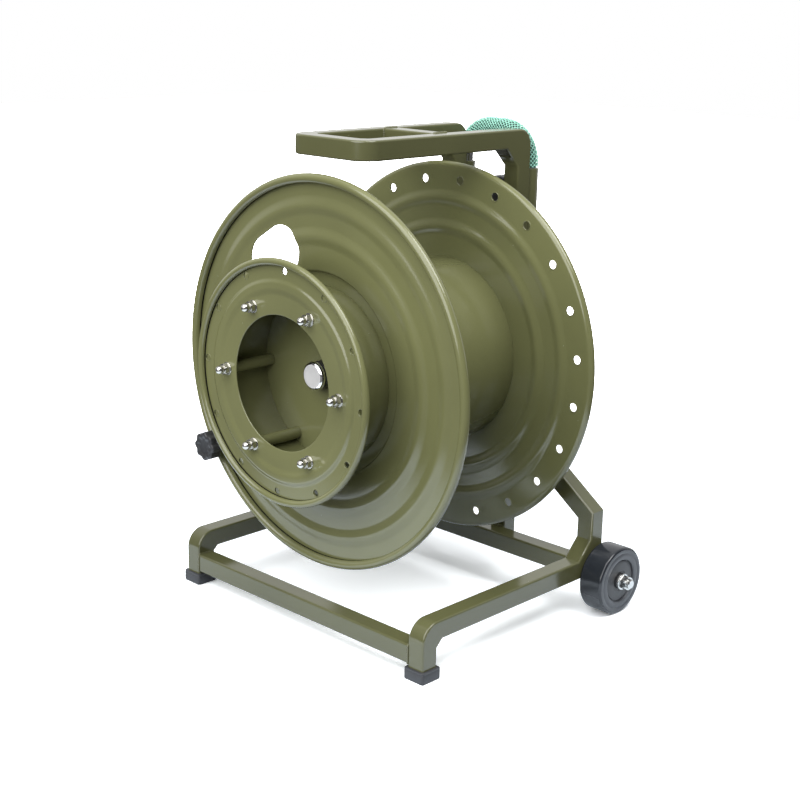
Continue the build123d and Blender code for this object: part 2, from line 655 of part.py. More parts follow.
def write_stand():
    save_pair("side_tube", make_side_tube())
    save_pair("upright", make_upright())
    save_pair("foot", make_foot())
    save_pair("socket", make_socket())
    inner = SIDE_X - TUBE
    bottom = FOOT_HEIGHT + CROSS_TUBE_GAP
    front_tube = square_tube(-inner, inner, STAND_FRONT, STAND_FRONT + TUBE, bottom, bottom + TUBE)
    save("front_cross_tube", front_tube)
    rear_tube = square_tube(-inner, inner, UPRIGHT_FRONT - TUBE, UPRIGHT_FRONT, RAIL_BOTTOM, RAIL_TOP)
    save("rear_cross_tube", rear_tube)
    save("handle_front_bar", make_handle_front_bar())
    bar_back = CROSS_BAR_FRONT + TUBE
    bar = square_tube(-UPRIGHT_INNER, UPRIGHT_INNER, CROSS_BAR_FRONT, bar_back, HANDLE_BOTTOM, HANDLE_TOP)
    save("handle_cross_bar", bar)
    save("axle", make_axle())
    save("axle_plate", make_axle_plate())
    save("axle_cap", rod(0, AXLE_HEIGHT, AXLE_CAP_DIAMETER / 2, FRONT_WEB - AXLE_REACH, AXLE_FRONT))
    save("drum_lock", make_drum_lock())
    save("pull_handle", make_pull_handle())
    save("net_sleeve", make_net_sleeve())


def write_wheels():
    save_pair("wheel", make_wheel())
    save_pair("wheel_bracket", make_wheel_bracket())
    save_pair("wheel_bolt", make_wheel_bolt())


os.makedirs("parts", exist_ok=True)
write_drum()
write_stand()
write_wheels()
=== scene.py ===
"""Looks of a fiber optic cable reel: a pressed sheet-metal drum on a welded square-tube stand.

Lengths are in millimetres about the drum's middle until a mesh is made, and in metres in the frame.
"""
import logging
from dataclasses import dataclass, field
from enum import Enum
from math import asin, atan2, cos, degrees, hypot, inf, pi, radians, sin, sqrt, tau
from typing import Any, Mapping, Sequence, Union

import bmesh
import bpy
from mathutils import Matrix, Vector


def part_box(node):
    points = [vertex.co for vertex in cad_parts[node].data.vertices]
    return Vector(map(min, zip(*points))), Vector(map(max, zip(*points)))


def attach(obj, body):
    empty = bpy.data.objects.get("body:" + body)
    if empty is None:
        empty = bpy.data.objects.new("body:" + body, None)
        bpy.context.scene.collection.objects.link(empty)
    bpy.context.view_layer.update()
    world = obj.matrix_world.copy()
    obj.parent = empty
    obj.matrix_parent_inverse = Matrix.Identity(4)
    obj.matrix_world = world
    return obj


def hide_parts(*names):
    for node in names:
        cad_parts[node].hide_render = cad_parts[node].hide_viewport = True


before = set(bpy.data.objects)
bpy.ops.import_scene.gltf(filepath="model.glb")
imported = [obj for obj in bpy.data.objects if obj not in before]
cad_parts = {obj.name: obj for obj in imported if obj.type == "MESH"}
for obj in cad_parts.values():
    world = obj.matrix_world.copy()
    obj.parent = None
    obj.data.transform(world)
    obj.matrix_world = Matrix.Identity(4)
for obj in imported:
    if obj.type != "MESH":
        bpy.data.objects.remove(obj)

LOG = logging.getLogger("cable_reel")
MM = 0.001
DEPTH_MIDDLE = 13.825
AXLE_HEIGHT = 251.0
SHEET = 1.5
TUBE = 19.0
NUT_CHAMFER = 0.078
NUT_FACE = 0.515
HOLE_SIDES = 40
RIM_STEPS = 180
MERGE = 0.002
CAD_MERGE = 0.01
FLAT_ANGLE = 0.5
LONGEST_CUT = 0.45
CORNER_CUT = 1.2
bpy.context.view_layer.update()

Colour = tuple[float, float, float]
Point = tuple[float, float]
Piece = bpy.types.Object


class Body(str, Enum):
    """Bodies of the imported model."""

    FRAME = "frame"
    DRUM = "drum"
    KNOB = "hand_knob"
    WHEEL_LEFT = "wheel_left"
    WHEEL_RIGHT = "wheel_right"
    PULL_HANDLE = "pull_handle"


class Side(Enum):
    """Left and right of the reel, as the sign of X."""

    LEFT = -1
    RIGHT = 1

    @property
    def word(self) -> str:
        """The side's word in node names."""
        return self.name.lower()


class Curl(Enum):
    """Which way a rim is rolled, as the sign of Y."""

    FRONT = -1
    BACK = 1


class Sock:
    """A node socket that can be used in arithmetic."""

    def __init__(self, wiring: "Wiring", socket: bpy.types.NodeSocket) -> None:
        """Keep the socket and the tree that it is in."""
        self.wiring = wiring
        self.socket = socket

    def __add__(self, other: "Value") -> "Sock":
        """Sum of two values."""
        return self.wiring.math("ADD", self, other)

    __radd__ = __add__

    def __sub__(self, other: "Value") -> "Sock":
        """Difference of two values."""
        return self.wiring.math("SUBTRACT", self, other)

    def __rsub__(self, other: "Value") -> "Sock":
        """Difference from a plain number."""
        return self.wiring.math("SUBTRACT", other, self)

    def __mul__(self, other: "Value") -> "Sock":
        """Product of two values."""
        return self.wiring.math("MULTIPLY", self, other)

    __rmul__ = __mul__

    def __truediv__(self, other: "Value") -> "Sock":
        """Quotient of two values."""
        return self.wiring.math("DIVIDE", self, other)

    def __rtruediv__(self, other: "Value") -> "Sock":
        """Quotient of a plain number."""
        return self.wiring.math("DIVIDE", other, self)

    def __mod__(self, other: "Value") -> "Sock":
        """Remainder of a division."""
        return self.wiring.math("MODULO", self, other)

    def __lt__(self, other: "Value") -> "Sock":
        """1 where this value is the smaller, and else 0."""
        return self.wiring.math("LESS_THAN", self, other)

    def between(self, low: float, high: float) -> "Sock":
        """Smooth step from 0 at low to 1 at high."""
        eased = {"interpolation_type": "SMOOTHSTEP"}
        return self.wiring.sock("ShaderNodeMapRange", 0, eased, {0: self, 1: low, 2: high})


Value = Union[Sock, float]


class Wiring:
    """A node tree built in code."""

    def __init__(self, tree: bpy.types.NodeTree) -> None:
        """Keep the tree."""
        self.tree = tree

    def node(
        self,
        kind: str,
        settings: Mapping[str, Any] | None = None,
        inputs: Mapping[str | int, Any] | None = None,
    ) -> bpy.types.Node:
        """Add a node.

        Args:
            kind: Blender's name of the node type.
            settings: Properties of the node, set before its sockets.
            inputs: Values or sockets for its inputs, by name or number.

        Returns:
            The new node.
        """
        node = self.tree.nodes.new(kind)
        for name, value in (settings or {}).items():
            setattr(node, name, value)
        for key, value in (inputs or {}).items():
            source = value.socket if isinstance(value, Sock) else value
            if isinstance(source, bpy.types.NodeSocket):
                self.tree.links.new(source, node.inputs[key])
            else:
                node.inputs[key].default_value = source
        return node

    def sock(self, kind: str, output: str | int, settings: Any = None, inputs: Any = None) -> Sock:
        """Add a node and take one of its outputs."""
        return Sock(self, self.node(kind, settings, inputs).outputs[output])

    def math(self, operation: str, *values: Value) -> Sock:
        """Scalar arithmetic."""
        return self.sock("ShaderNodeMath", 0, {"operation": operation}, dict(enumerate(values)))

    def vector(self, operation: str, *values: Any) -> Sock:
        """Vector arithmetic."""
        return self.sock("ShaderNodeVectorMath", 0, {"operation": operation}, dict(enumerate(values)))


class Graph(Wiring):
    """The node tree of one material."""

    def __init__(self, name: str) -> None:
        """Start a material with a principled shader.

        Args:
            name: Name of the material.
        """
        self.material = bpy.data.materials.new(name)
        self.material.use_nodes = True
        super().__init__(self.material.node_tree)
        self.tree.nodes.clear()
        self.shader = self.node("ShaderNodeBsdfPrincipled")
        self.end = self.node("ShaderNodeOutputMaterial", None, {"Surface": self.shader.outputs[0]})
        self.place = self.sock("ShaderNodeTexCoord", "Object")

    def set(self, **values: Any) -> None:
        """Set inputs of the principled shader.

        Args:
            values: Values or sockets by the name of the input, with underscores for spaces.
        """
        for key, value in values.items():
            target = self.shader.inputs[key.replace("_", " ")]
            if isinstance(value, Sock):
                self.tree.links.new(value.socket, target)
            else:
                target.default_value = value

    def noise(self, scale: float, detail: float = 2.0, stretch: Sequence[float] = (1, 1, 1)) -> Sock:
        """Noise in object space, with cells of about 1 / scale metres."""
        place = self.vector("MULTIPLY", self.place, tuple(stretch))
        return self.sock("ShaderNodeTexNoise", 0, None, {"Vector": place, "Scale": scale, "Detail": detail})

    def specks(self, cell: float, radius: float, share: float) -> Sock:
        """Round specks, as a mask.

        Args:
            cell: Size of the cells that may hold one speck, in metres.
            radius: Radius of a speck, as a share of its cell.
            share: Share of the cells that hold a speck.

        Returns:
            1 on a speck and 0 elsewhere.
        """
        cells = self.node("ShaderNodeTexVoronoi", None, {"Vector": self.place, "Scale": 1 / cell})
        near = 1 - Sock(self, cells.outputs["Distance"]).between(radius * 0.5, radius)
        parts = self.node("ShaderNodeSeparateColor", None, {0: cells.outputs["Color"]})
        return near * (Sock(self, parts.outputs[0]) < share)

    def mix(self, factor: Value, low: Any, high: Any) -> Sock:
        """Mix of two colours, each a socket or a colour."""
        ends = [end if isinstance(end, Sock) else (*end, 1.0) for end in (low, high)]
        return self.sock("ShaderNodeMix", 2, {"data_type": "RGBA"}, {0: factor, 6: ends[0], 7: ends[1]})

    def bump(self, height: Sock, distance: float, strength: float = 1.0) -> Sock:
        """Normal of a surface that is raised by height times a distance in metres."""
        inputs = {"Height": height, "Distance": distance, "Strength": strength}
        return self.sock("ShaderNodeBump", 0, None, inputs)


@dataclass(frozen=True)
class Finish:
    """A finish, and the record's material slot that it belongs to."""

    name: str
    slot: str
    colour: Colour
    roughness: float

    def wire(self, graph: Graph) -> None:
        """Set up the shader."""
        raise NotImplementedError

    def material(self) -> bpy.types.Material:
        """The material of this finish, made once.

        Returns:
            The material.
        """
        known = bpy.data.materials.get(self.name)
        if known:
            return known
        graph = Graph(self.name)
        self.wire(graph)
        return graph.material


def scaled(colour: Colour, factor: float) -> Colour:
    """A lighter or darker colour."""
    return tuple(min(1.0, channel * factor) for channel in colour)


@dataclass(frozen=True)
class Paint(Finish):
    """Glossy sprayed paint with a fine orange peel and a few dust specks."""

    peel: float = 0.000012
    dust: Colour = (0.55, 0.55, 0.42)
    gloss: float = 0.6
    drift_scale: float = 7.0
    peel_scale: float = 620.0
    speck_cell: float = 0.011

    def wire(self, graph: Graph) -> None:
        """Tone that drifts over the piece, orange peel in the gloss and small bright specks.

        Args:
            graph: The node tree of the material.
        """
        drift = graph.noise(self.drift_scale, 3.0)
        peel = graph.noise(self.peel_scale, 2.0)
        tone = graph.mix(drift.between(0.3, 0.7), scaled(self.colour, 0.93), scaled(self.colour, 1.07))
        dusty = graph.specks(self.speck_cell, 0.03, 0.22)
        graph.set(
            Base_Color=graph.mix(dusty * 0.8, tone, self.dust),
            Roughness=self.roughness + drift * 0.05 + dusty * 0.3,
            Normal=graph.bump(peel + dusty * 6.0, self.peel),
            Specular_IOR_Level=self.gloss,
        )


@dataclass(frozen=True)
class Moulded(Finish):
    """Moulded plastic or rubber with a fine grain and a dull bloom."""

    grain: float = 0.00003
    grain_scale: float = 900.0
    bloom: float = 0.35
    patch_scale: float = 45.0
    lint: Colour = (0.4, 0.4, 0.4)
    lint_cell: float = 0.006

    def wire(self, graph: Graph) -> None:
        """Fine grain in the gloss and a paler bloom in patches.

        Args:
            graph: The node tree of the material.
        """
        patches = graph.noise(self.patch_scale, 4.0)
        grain = graph.noise(self.grain_scale, 3.0)
        tone = graph.mix(patches.between(0.35, 0.75), self.colour, scaled(self.colour, 1 + self.bloom))
        graph.set(
            Base_Color=graph.mix(graph.specks(self.lint_cell, 0.03, 0.3) * 0.5, tone, self.lint),
            Roughness=self.roughness + (patches - 0.5) * 0.16,
            Normal=graph.bump(grain, self.grain),
        )


@dataclass(frozen=True)
class Plated(Finish):
    """Bright plating with fine polishing marks and faint clouding."""

    marks: float = 0.000004
    metal: float = 1.0
    line_scale: float = 700.0
    cloud_scale: float = 90.0

    def wire(self, graph: Graph) -> None:
        """Metal whose gloss varies in fine lines and soft clouds.

        Args:
            graph: The node tree of the material.
        """
        lines = graph.noise(self.line_scale, 2.0, (1.0, 0.08, 1.0))
        clouds = graph.noise(self.cloud_scale, 3.0)
        graph.set(
            Base_Color=graph.mix(clouds.between(0.3, 0.7), scaled(self.colour, 0.92), self.colour),
            Metallic=self.metal,
            Roughness=self.roughness + clouds * 0.05,
            Normal=graph.bump(lines, self.marks),
        )


@dataclass(frozen=True)
class Netting(Finish):
    """Half-glossy plastic strands."""

    drift_scale: float = 160.0
    relief: float = 0.00002

    def wire(self, graph: Graph) -> None:
        """Colour that varies a little along the strands.

        Args:
            graph: The node tree of the material.
        """
        drift = graph.noise(self.drift_scale, 2.0)
        tone = graph.mix(drift.between(0.3, 0.7), scaled(self.colour, 0.82), scaled(self.colour, 1.1))
        graph.set(
            Base_Color=tone,
            Roughness=self.roughness + drift * 0.1,
            Normal=graph.bump(drift, self.relief),
        )


OLIVE = Paint("olive_paint_finish", "olive_paint", (0.146, 0.151, 0.066), 0.13)
# Near-black paint for the faces inside the rolled rims' gaps: painted shade where no light gets in, not a
# colour of the sheet.
GAP_SHADE = Paint("rim_gap_finish", "olive_paint", (0.012, 0.012, 0.008), 0.6, gloss=0.1)
# The stand wears the drum's olive; this darker copy is painted shade for the weaker light that falls on its
# tubes.
STAND_OLIVE_SHADED = Paint("stand_paint_finish", "olive_paint", (0.088, 0.090, 0.040), 0.13)
BLACK_PAINT = Paint("black_paint_finish", "black_paint", (0.016, 0.016, 0.017), 0.3, dust=(0.2, 0.2, 0.2))
FOOT_RUBBER = Moulded("foot_rubber_finish", "black_rubber", (0.030, 0.031, 0.035), 0.5)
KNOB_PLASTIC = Moulded("knob_plastic_finish", "black_plastic", (0.020, 0.0205, 0.023), 0.42)
WHEEL_TREAD = Moulded("wheel_tread_finish", "wheel_rubber", (0.018, 0.021, 0.026), 0.16, 0.000008, 300.0, 0.2)
WHEEL_HUB = Moulded("wheel_hub_finish", "wheel_rubber", (0.040, 0.041, 0.044), 0.45)
WHEEL_RING = Moulded("wheel_ring_finish", "wheel_rubber", (0.066, 0.071, 0.080), 0.42)
CHROME = Plated("chrome_finish", "chrome", (0.86, 0.86, 0.87), 0.06)
SATIN = Plated("satin_cap_finish", "chrome", (0.93, 0.93, 0.93), 0.28, metal=0.5)
NUT_STEEL = Plated("nut_finish", "zinc_steel", (0.52, 0.51, 0.48), 0.18)
BOLT_STEEL = Plated("bolt_finish", "zinc_steel", (0.50, 0.50, 0.49), 0.2)
ZINC = Plated("zinc_finish", "zinc_steel", (0.84, 0.84, 0.83), 0.12)
MINT_NET = Netting("mint_net_finish", "green_net", (0.34, 0.70, 0.57), 0.35)
# Near-black green for the sheet inside the net: painted shade and painted dark reflection seen through the gaps
# between the strands.
NET_SHADE_PAINT = Netting("net_liner_finish", "green_net", (0.008, 0.036, 0.027), 0.5)


def place(x: float, y: float, z: float) -> Vector:
    """A point about the drum's middle, in the frame's metres."""
    return Vector((x, y - DEPTH_MIDDLE, z)) * MM


@dataclass(frozen=True)
class Spindle:
    """A turning axis: a centre, the two directions across it and the direction along it."""

    centre: Vector
    across: Vector
    up: Vector
    along: Vector

    def point(self, angle: float, radius: float, reach: float) -> Vector:
        """The place at an angle, a radius and a distance along the axis."""
        flat = self.centre + self.across * (radius * cos(angle)) + self.up * (radius * sin(angle))
        return flat + self.along * reach


X_AXIS = Vector((1, 0, 0))
Y_AXIS = Vector((0, 1, 0))
Z_AXIS = Vector((0, 0, 1))
DRUM_AXIS = Spindle(Vector((0, 0, AXLE_HEIGHT)), X_AXIS, Z_AXIS, Y_AXIS)
FREE_AXIS = Spindle(Vector((0, DEPTH_MIDDLE, 0)), X_AXIS, Z_AXIS, Y_AXIS)


def arc(centre: Point, radius: float, start: float, end: float, steps: int) -> list[Point]:
    """Points on a circle between two angles in degrees."""
    angles = [radians(start + (end - start) * i / steps) for i in range(steps + 1)]
    return [(centre[0] + radius * cos(a), centre[1] + radius * sin(a)) for a in angles]


def rounded(points: Sequence[Point], radius: float, steps: int = 4) -> list[Point]:
    """A closed outline with every corner rounded.

    Args:
        points: The corners.
        radius: Radius of the corners, made smaller where an edge is short.
        steps: Steps in each corner.

    Returns:
        The points of the rounded outline.
    """
    result = []
    count = len(points)
    for i, corner in enumerate(points):
        here = Vector(corner)
        before = Vector(points[i - 1]) - here
        after = Vector(points[(i + 1) % count]) - here
        cut = min(radius, before.length * LONGEST_CUT, after.length * LONGEST_CUT)
        start = here + before.normalized() * cut
        end = here + after.normalized() * cut
        for k in range(steps + 1):
            t = k / steps
            result.append(tuple(start * (1 - t) ** 2 + here * (2 * t * (1 - t)) + end * t ** 2))
    return result


def smooth(low: float, high: float, value: float) -> float:
    """Smooth step from 0 at low to 1 at high."""
    t = min(1.0, max(0.0, (value - low) / (high - low)))
    return t * t * (3 - 2 * t)


def linked(name: str, data: bpy.types.ID) -> Piece:
    """A new object in the scene.

    Args:
        name: Its name.
        data: Its mesh, lamp or camera.

    Returns:
        The object.
    """
    made = bpy.data.objects.new(name, data)
    bpy.context.scene.collection.objects.link(made)
    return made


def line_piece(name: str, verts: Sequence[Vector], edges: Sequence[tuple[int, int]]) -> Piece:
    """A new piece made of lines alone.

    Args:
        name: Its name.
        verts: Places in the frame's metres.
        edges: Pairs of places that a line joins.

    Returns:
        The piece.
    """
    mesh = bpy.data.meshes.new(name)
    mesh.from_pydata(verts, edges, [])
    return linked(name, mesh)


@dataclass
class Draft:
    """Vertices and faces of one piece, in millimetres about the drum's middle."""

    verts: list[Vector] = field(default_factory=list)
    faces: list[tuple[int, ...]] = field(default_factory=list)

    def loft(self, rings: Sequence[Sequence[Vector]], closed: bool = False, cap: bool = False) -> "Draft":
        """Skin over rings of equal length.

        Args:
            rings: The rings, in order.
            closed: Whether the last ring joins the first.
            cap: Whether the first and last rings are filled.

        Returns:
            This draft.
        """
        base = len(self.verts)
        size = len(rings[0])
        for ring in rings:
            self.verts.extend(ring)
        for i in range(len(rings) if closed else len(rings) - 1):
            here = base + i * size
            there = base + ((i + 1) % len(rings)) * size
            for j in range(size):
                k = (j + 1) % size
                self.faces.append((here + j, here + k, there + k, there + j))
        if cap:
            self.faces.append(tuple(range(base, base + size)))
            last = base + (len(rings) - 1) * size
            self.faces.append(tuple(range(last, last + size)))
        return self

    def lathe(
        self, profile: Sequence[Point], spindle: Spindle, segments: int = 64, closed: bool = True
    ) -> "Draft":
        """Turn a profile about a spindle.

        Args:
            profile: Points of the profile, as a radius and a distance along the spindle.
            spindle: The axis.
            segments: Steps around the axis.
            closed: Whether the profile's last point joins its first.

        Returns:
            This draft.
        """
        angles = [tau * j / segments for j in range(segments)]
        rings = [[spindle.point(a, r, t) for a in angles] for r, t in profile]
        return self.loft(rings, closed=closed)

    def build(self, name: str, sharp: float = 32.0) -> Piece:
        """Make the piece.

        Args:
            name: Name of the piece.
            sharp: Angle in degrees above which an edge is sharp.

        Returns:
            The piece, with smooth faces.
        """
        mesh = bpy.data.meshes.new(name)
        mesh.from_pydata([place(*v) for v in self.verts], [], self.faces)
        shape = bmesh.new()
        shape.from_mesh(mesh)
        bmesh.ops.remove_doubles(shape, verts=shape.verts, dist=MM * MERGE)
        bmesh.ops.recalc_face_normals(shape, faces=shape.faces)
        shape.to_mesh(mesh)
        shape.free()
        mesh.shade_smooth()
        mesh.set_sharp_from_angle(angle=radians(sharp))
        return linked(name, mesh)


def hexagon_radius(angle: float, across_flats: float) -> float:
    """Radius of a hexagon's outline at an angle."""
    turn = (angle + pi / 6) % (pi / 3) - pi / 6
    return across_flats / 2 / cos(turn)


def nut_rings(
    spindle: Spindle, across_flats: float, start: float, end: float, inner: float
) -> list[list[Vector]]:
    """Rings of a hexagon nut with chamfered corners.

    Args:
        spindle: Axis of the nut.
        across_flats: Size of the hexagon.
        start: Place of its seat along the axis.
        end: Place of its outer face along the axis.
        inner: Radius of the hole in its outer face.

    Returns:
        The rings from the seat to the hole.
    """
    steps = 72
    chamfer = NUT_CHAMFER * across_flats * (1 if end > start else -1)
    limit = across_flats * NUT_FACE
    levels = ((start, across_flats), (start + chamfer, inf), (end - chamfer, inf), (end, limit))
    rings = []
    for reach, widest in levels:
        radii = [min(hexagon_radius(tau * j / steps, across_flats), widest) for j in range(steps)]
        rings.append([spindle.point(tau * j / steps, r, reach) for j, r in enumerate(radii)])
    rings.append([spindle.point(tau * j / steps, inner, end) for j in range(steps)])
    return rings


def settle(piece: Piece, finish: Finish, body: Body, *nodes: str) -> Piece:
    """Give a piece its finish, its body and the CAD nodes that it stands for.

    Args:
        piece: The finished piece.
        finish: Its finish.
        body: The body that it moves with.
        nodes: CAD nodes that it replaces.

    Returns:
        The piece.
    """
    piece.data.materials.clear()
    piece.data.materials.append(finish.material())
    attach(piece, body.value)
    if nodes:
        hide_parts(*nodes)
    LOG.info("%s: %d faces, rides on %s", piece.name, len(piece.data.polygons), body.value)
    return piece


def cad_copy(node: str, sharp: float = 30.0) -> Piece:
    """A welded copy of a CAD node with flat faces joined and its rounded edges shaded smooth.

    Args:
        node: Name of the CAD node.
        sharp: Angle in degrees above which an edge stays sharp.

    Returns:
        The copy, named after the node.
    """
    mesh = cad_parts[node].data.copy()
    mesh.name = f"{node}_skin"
    shape = bmesh.new()
    shape.from_mesh(mesh)
    bmesh.ops.remove_doubles(shape, verts=shape.verts, dist=MM * CAD_MERGE)
    bmesh.ops.dissolve_limit(shape, angle_limit=radians(FLAT_ANGLE), verts=shape.verts, edges=shape.edges)
    shape.to_mesh(mesh)
    shape.free()
    mesh.shade_smooth()
    mesh.set_sharp_from_angle(angle=radians(sharp))
    piece = linked(f"{node}_skin", mesh)
    weighted = piece.modifiers.new("weighted", "WEIGHTED_NORMAL")
    weighted.keep_sharp = True
    return plain(piece)


def plain(piece: Piece) -> Piece:
    """Turn a piece with modifiers into a plain mesh.

    Args:
        piece: The piece.

    Returns:
        The same piece, without modifiers.
    """
    bpy.context.view_layer.update()
    graph = bpy.context.evaluated_depsgraph_get()
    mesh = bpy.data.meshes.new_from_object(piece.evaluated_get(graph), depsgraph=graph)
    piece.modifiers.clear()
    piece.data = mesh
    return piece


class Growth(Wiring):
    """A geometry node tree with named inputs, which grows a piece from its base mesh."""

    KINDS = {int: "NodeSocketInt", float: "NodeSocketFloat", Vector: "NodeSocketVector",
             Piece: "NodeSocketObject", bpy.types.Material: "NodeSocketMaterial"}

    def __init__(self, name: str, **inputs: type) -> None:
        """Start a tree with a geometry input, the named inputs and a material.

        Args:
            name: Name of the tree.
            inputs: Type of each named input.
        """
        super().__init__(bpy.data.node_groups.new(name, "GeometryNodeTree"))
        sides = self.tree.interface
        sides.new_socket("Geometry", in_out="INPUT", socket_type="NodeSocketGeometry")
        sides.new_socket("Geometry", in_out="OUTPUT", socket_type="NodeSocketGeometry")
        self.names = {}
        for label, kind in {**inputs, "Material": bpy.types.Material}.items():
            made = sides.new_socket(label, in_out="INPUT", socket_type=self.KINDS[kind])
            self.names[label] = made.identifier
        self.entry = self.node("NodeGroupInput")
        self.base = Sock(self, self.entry.outputs[0])

    def value(self, label: str) -> Sock:
        """One of the tree's inputs."""
        return Sock(self, self.entry.outputs[label])

    def add(self, kind: str, source: Sock | None = None, settings: Any = None, **inputs: Any) -> Sock:
        """Add a geometry node and take its first output.

        Args:
            kind: Blender's name of the node type, without its prefix.
            source: What goes into its first input.
            settings: Properties of the node.
            inputs: Values or sockets by the name of the input, with underscores for spaces.

        Returns:
            The output.
        """
        values = {label.replace("_", " "): value for label, value in inputs.items()}
        if source:
            values[0] = source
        return self.sock(f"GeometryNode{kind}", 0, settings, values)

    def join(self, *sources: Sock) -> Sock:
        """Join geometries into one.

        Args:
            sources: The geometries, in order.

        Returns:
            The joined geometry.
        """
        joined = self.node("GeometryNodeJoinGeometry")
        for source in sources:
            self.tree.links.new(source.socket, joined.inputs[0])
        return Sock(self, joined.outputs[0])

    def chance(self) -> Sock:
        """A random number from 0 to 1 for each point, by the tree's Seed."""
        chance = self.node("FunctionNodeRandomValue", {"data_type": "FLOAT"}, {"Seed": self.value("Seed")})
        return Sock(self, chance.outputs[1])

    def close(self, geometry: Sock) -> "Growth":
        """End the tree: real meshes with their material.

        Args:
            geometry: What the tree has made.

        Returns:
            This tree.
        """
        real = self.add("RealizeInstances", geometry)
        dressed = self.add("SetMaterial", real, Material=self.value("Material"))
        self.node("NodeGroupOutput", None, {0: dressed})
        return self

    def grow(self, piece: Piece, finish: Finish, **values: Any) -> Piece:
        """Run the tree on a piece and keep the result as its mesh.

        Args:
            piece: The piece that holds the base mesh.
            finish: The finish of what grows.
            values: Values of the tree's inputs.

        Returns:
            The piece as a plain mesh.
        """
        modifier = piece.modifiers.new(self.tree.name, "NODES")
        modifier.node_group = self.tree
        for label, value in {**values, "Material": finish.material()}.items():
            modifier[self.names[label]] = value
        return plain(piece)


def ring_points(tree: Growth) -> Sock:
    """Points on a ring about a centre, in the plane across the drum axis.

    Args:
        tree: A tree with the inputs Count, Radius, Phase and Centre.

    Returns:
        The points.
    """
    circle = tree.add("MeshCircle", Vertices=tree.value("Count"), Radius=tree.value("Radius"))
    turn = tree.sock("ShaderNodeCombineXYZ", 0, None, {0: pi / 2, 1: 0 - tree.value("Phase")})
    return tree.add("Transform", circle, Translation=tree.value("Centre"), Rotation=turn)


def perforated_tree() -> Growth:
    """Sheet with a ring of round holes that have a small painted lip, and one cut of any shape.

    Returns:
        The tree.
    """
    tree = Growth("perforated_sheet", Count=int, Radius=float, Phase=float, Centre=Vector, Hole=float,
                  Depth=float, Lip=float, Cutter=Piece)
    points = ring_points(tree)
    hole = tree.value("Hole")
    across = (pi / 2, 0.0, 0.0)
    drill = tree.add("MeshCylinder", Vertices=HOLE_SIDES, Radius=hole, Depth=tree.value("Depth"))
    drills = tree.add("RealizeInstances", tree.add("InstanceOnPoints", points, Instance=drill, Rotation=across))
    cutter = tree.sock("GeometryNodeObjectInfo", "Geometry", None, {"Object": tree.value("Cutter")})
    exact = {"operation": "DIFFERENCE", "solver": "EXACT"}
    cut = tree.add("MeshBoolean", None, exact, Mesh_1=tree.base, Mesh_2=tree.join(drills, cutter))
    edge = tree.add("CurvePrimitiveCircle", Resolution=HOLE_SIDES, Radius=hole)
    wire = tree.add("CurvePrimitiveCircle", Resolution=8, Radius=tree.value("Lip"))
    lip = tree.add("CurveToMesh", edge, Profile_Curve=wire)
    lips = tree.add("InstanceOnPoints", points, Instance=lip, Rotation=across)
    return tree.close(tree.join(cut, lips))


def ring_tree() -> Growth:
    """Copies of a piece on a ring about the drum axis, each turned at random about its own axis.

    Returns:
        The tree.
    """
    tree = Growth("ring_of_pieces", Count=int, Radius=float, Phase=float, Centre=Vector, Turn=float, Seed=int)
    single = tree.add("GeometryToInstance", tree.base)
    spin = tree.sock("ShaderNodeCombineXYZ", 0, None, {1: tree.value("Turn") * tree.chance()})
    return tree.close(tree.add("InstanceOnPoints", ring_points(tree), Instance=single, Rotation=spin))


def weld_tree() -> Growth:
    """Weld bead along edges: a row of overlapping drops of uneven size.

    Returns:
        The tree.
    """
    tree = Growth("weld_bead", Step=float, Size=float, Uneven=float, Seed=int)
    path = tree.add("MeshToCurve", tree.base)
    points = tree.add("ResampleCurve", path, {"mode": "LENGTH"}, Length=tree.value("Step"))
    drop = tree.add("MeshIcoSphere", Radius=tree.value("Size"), Subdivisions=1)
    smoothed = tree.add("SetShadeSmooth", drop)
    size = 1 + tree.value("Uneven") * (tree.chance() - 0.5)
    grown = tree.sock("ShaderNodeCombineXYZ", 0, None, {0: size, 1: size, 2: size})
    return tree.close(tree.add("InstanceOnPoints", points, Instance=smoothed, Scale=grown))


def braid_tree() -> Growth:
    """Net sleeve along a path in an upright plane: crossing helical strands, each over and under the rest.

    Returns:
        The tree.
    """
    tree = Growth("net_sleeve", Strands=int, Pitch=float, Radius=float, Wave=float, Wire=float, Step=float)
    path = tree.add("MeshToCurve", tree.base)
    even = tree.add("ResampleCurve", path, {"mode": "LENGTH"}, Length=tree.value("Step"))
    strands = tree.value("Strands")
    amount = {0: even, "Amount": strands * 2}
    copies = tree.node("GeometryNodeDuplicateElements", {"domain": "SPLINE"}, amount)
    index = Sock(tree, copies.outputs[1])
    way = 1 - 2 * (index % 2.0)
    number = tree.math("FLOOR", index / 2)
    run = tree.sock("GeometryNodeSplineParameter", "Length") / tree.value("Pitch")
    angle = tau * (way * run + number / strands)
    radius = tree.value("Radius") + way * tree.value("Wave") * tree.math("COSINE", tau * strands * run)
    side = tree.vector("CROSS_PRODUCT", tree.add("InputTangent"), (0.0, 1.0, 0.0))
    reach = radius * tree.math("SINE", angle)
    outward = tree.sock("ShaderNodeVectorMath", 0, {"operation": "SCALE"}, {0: side, "Scale": reach})
    level = tree.sock("ShaderNodeCombineXYZ", 0, None, {1: radius * tree.math("COSINE", angle)})
    shift = tree.vector("ADD", outward, level)
    helix = tree.add("SetPosition", Sock(tree, copies.outputs[0]), Offset=shift)
    wire = tree.add("CurvePrimitiveCircle", Resolution=6, Radius=tree.value("Wire"))
    mesh = tree.add("CurveToMesh", helix, Profile_Curve=wire)
    return tree.close(tree.add("SetShadeSmooth", mesh))


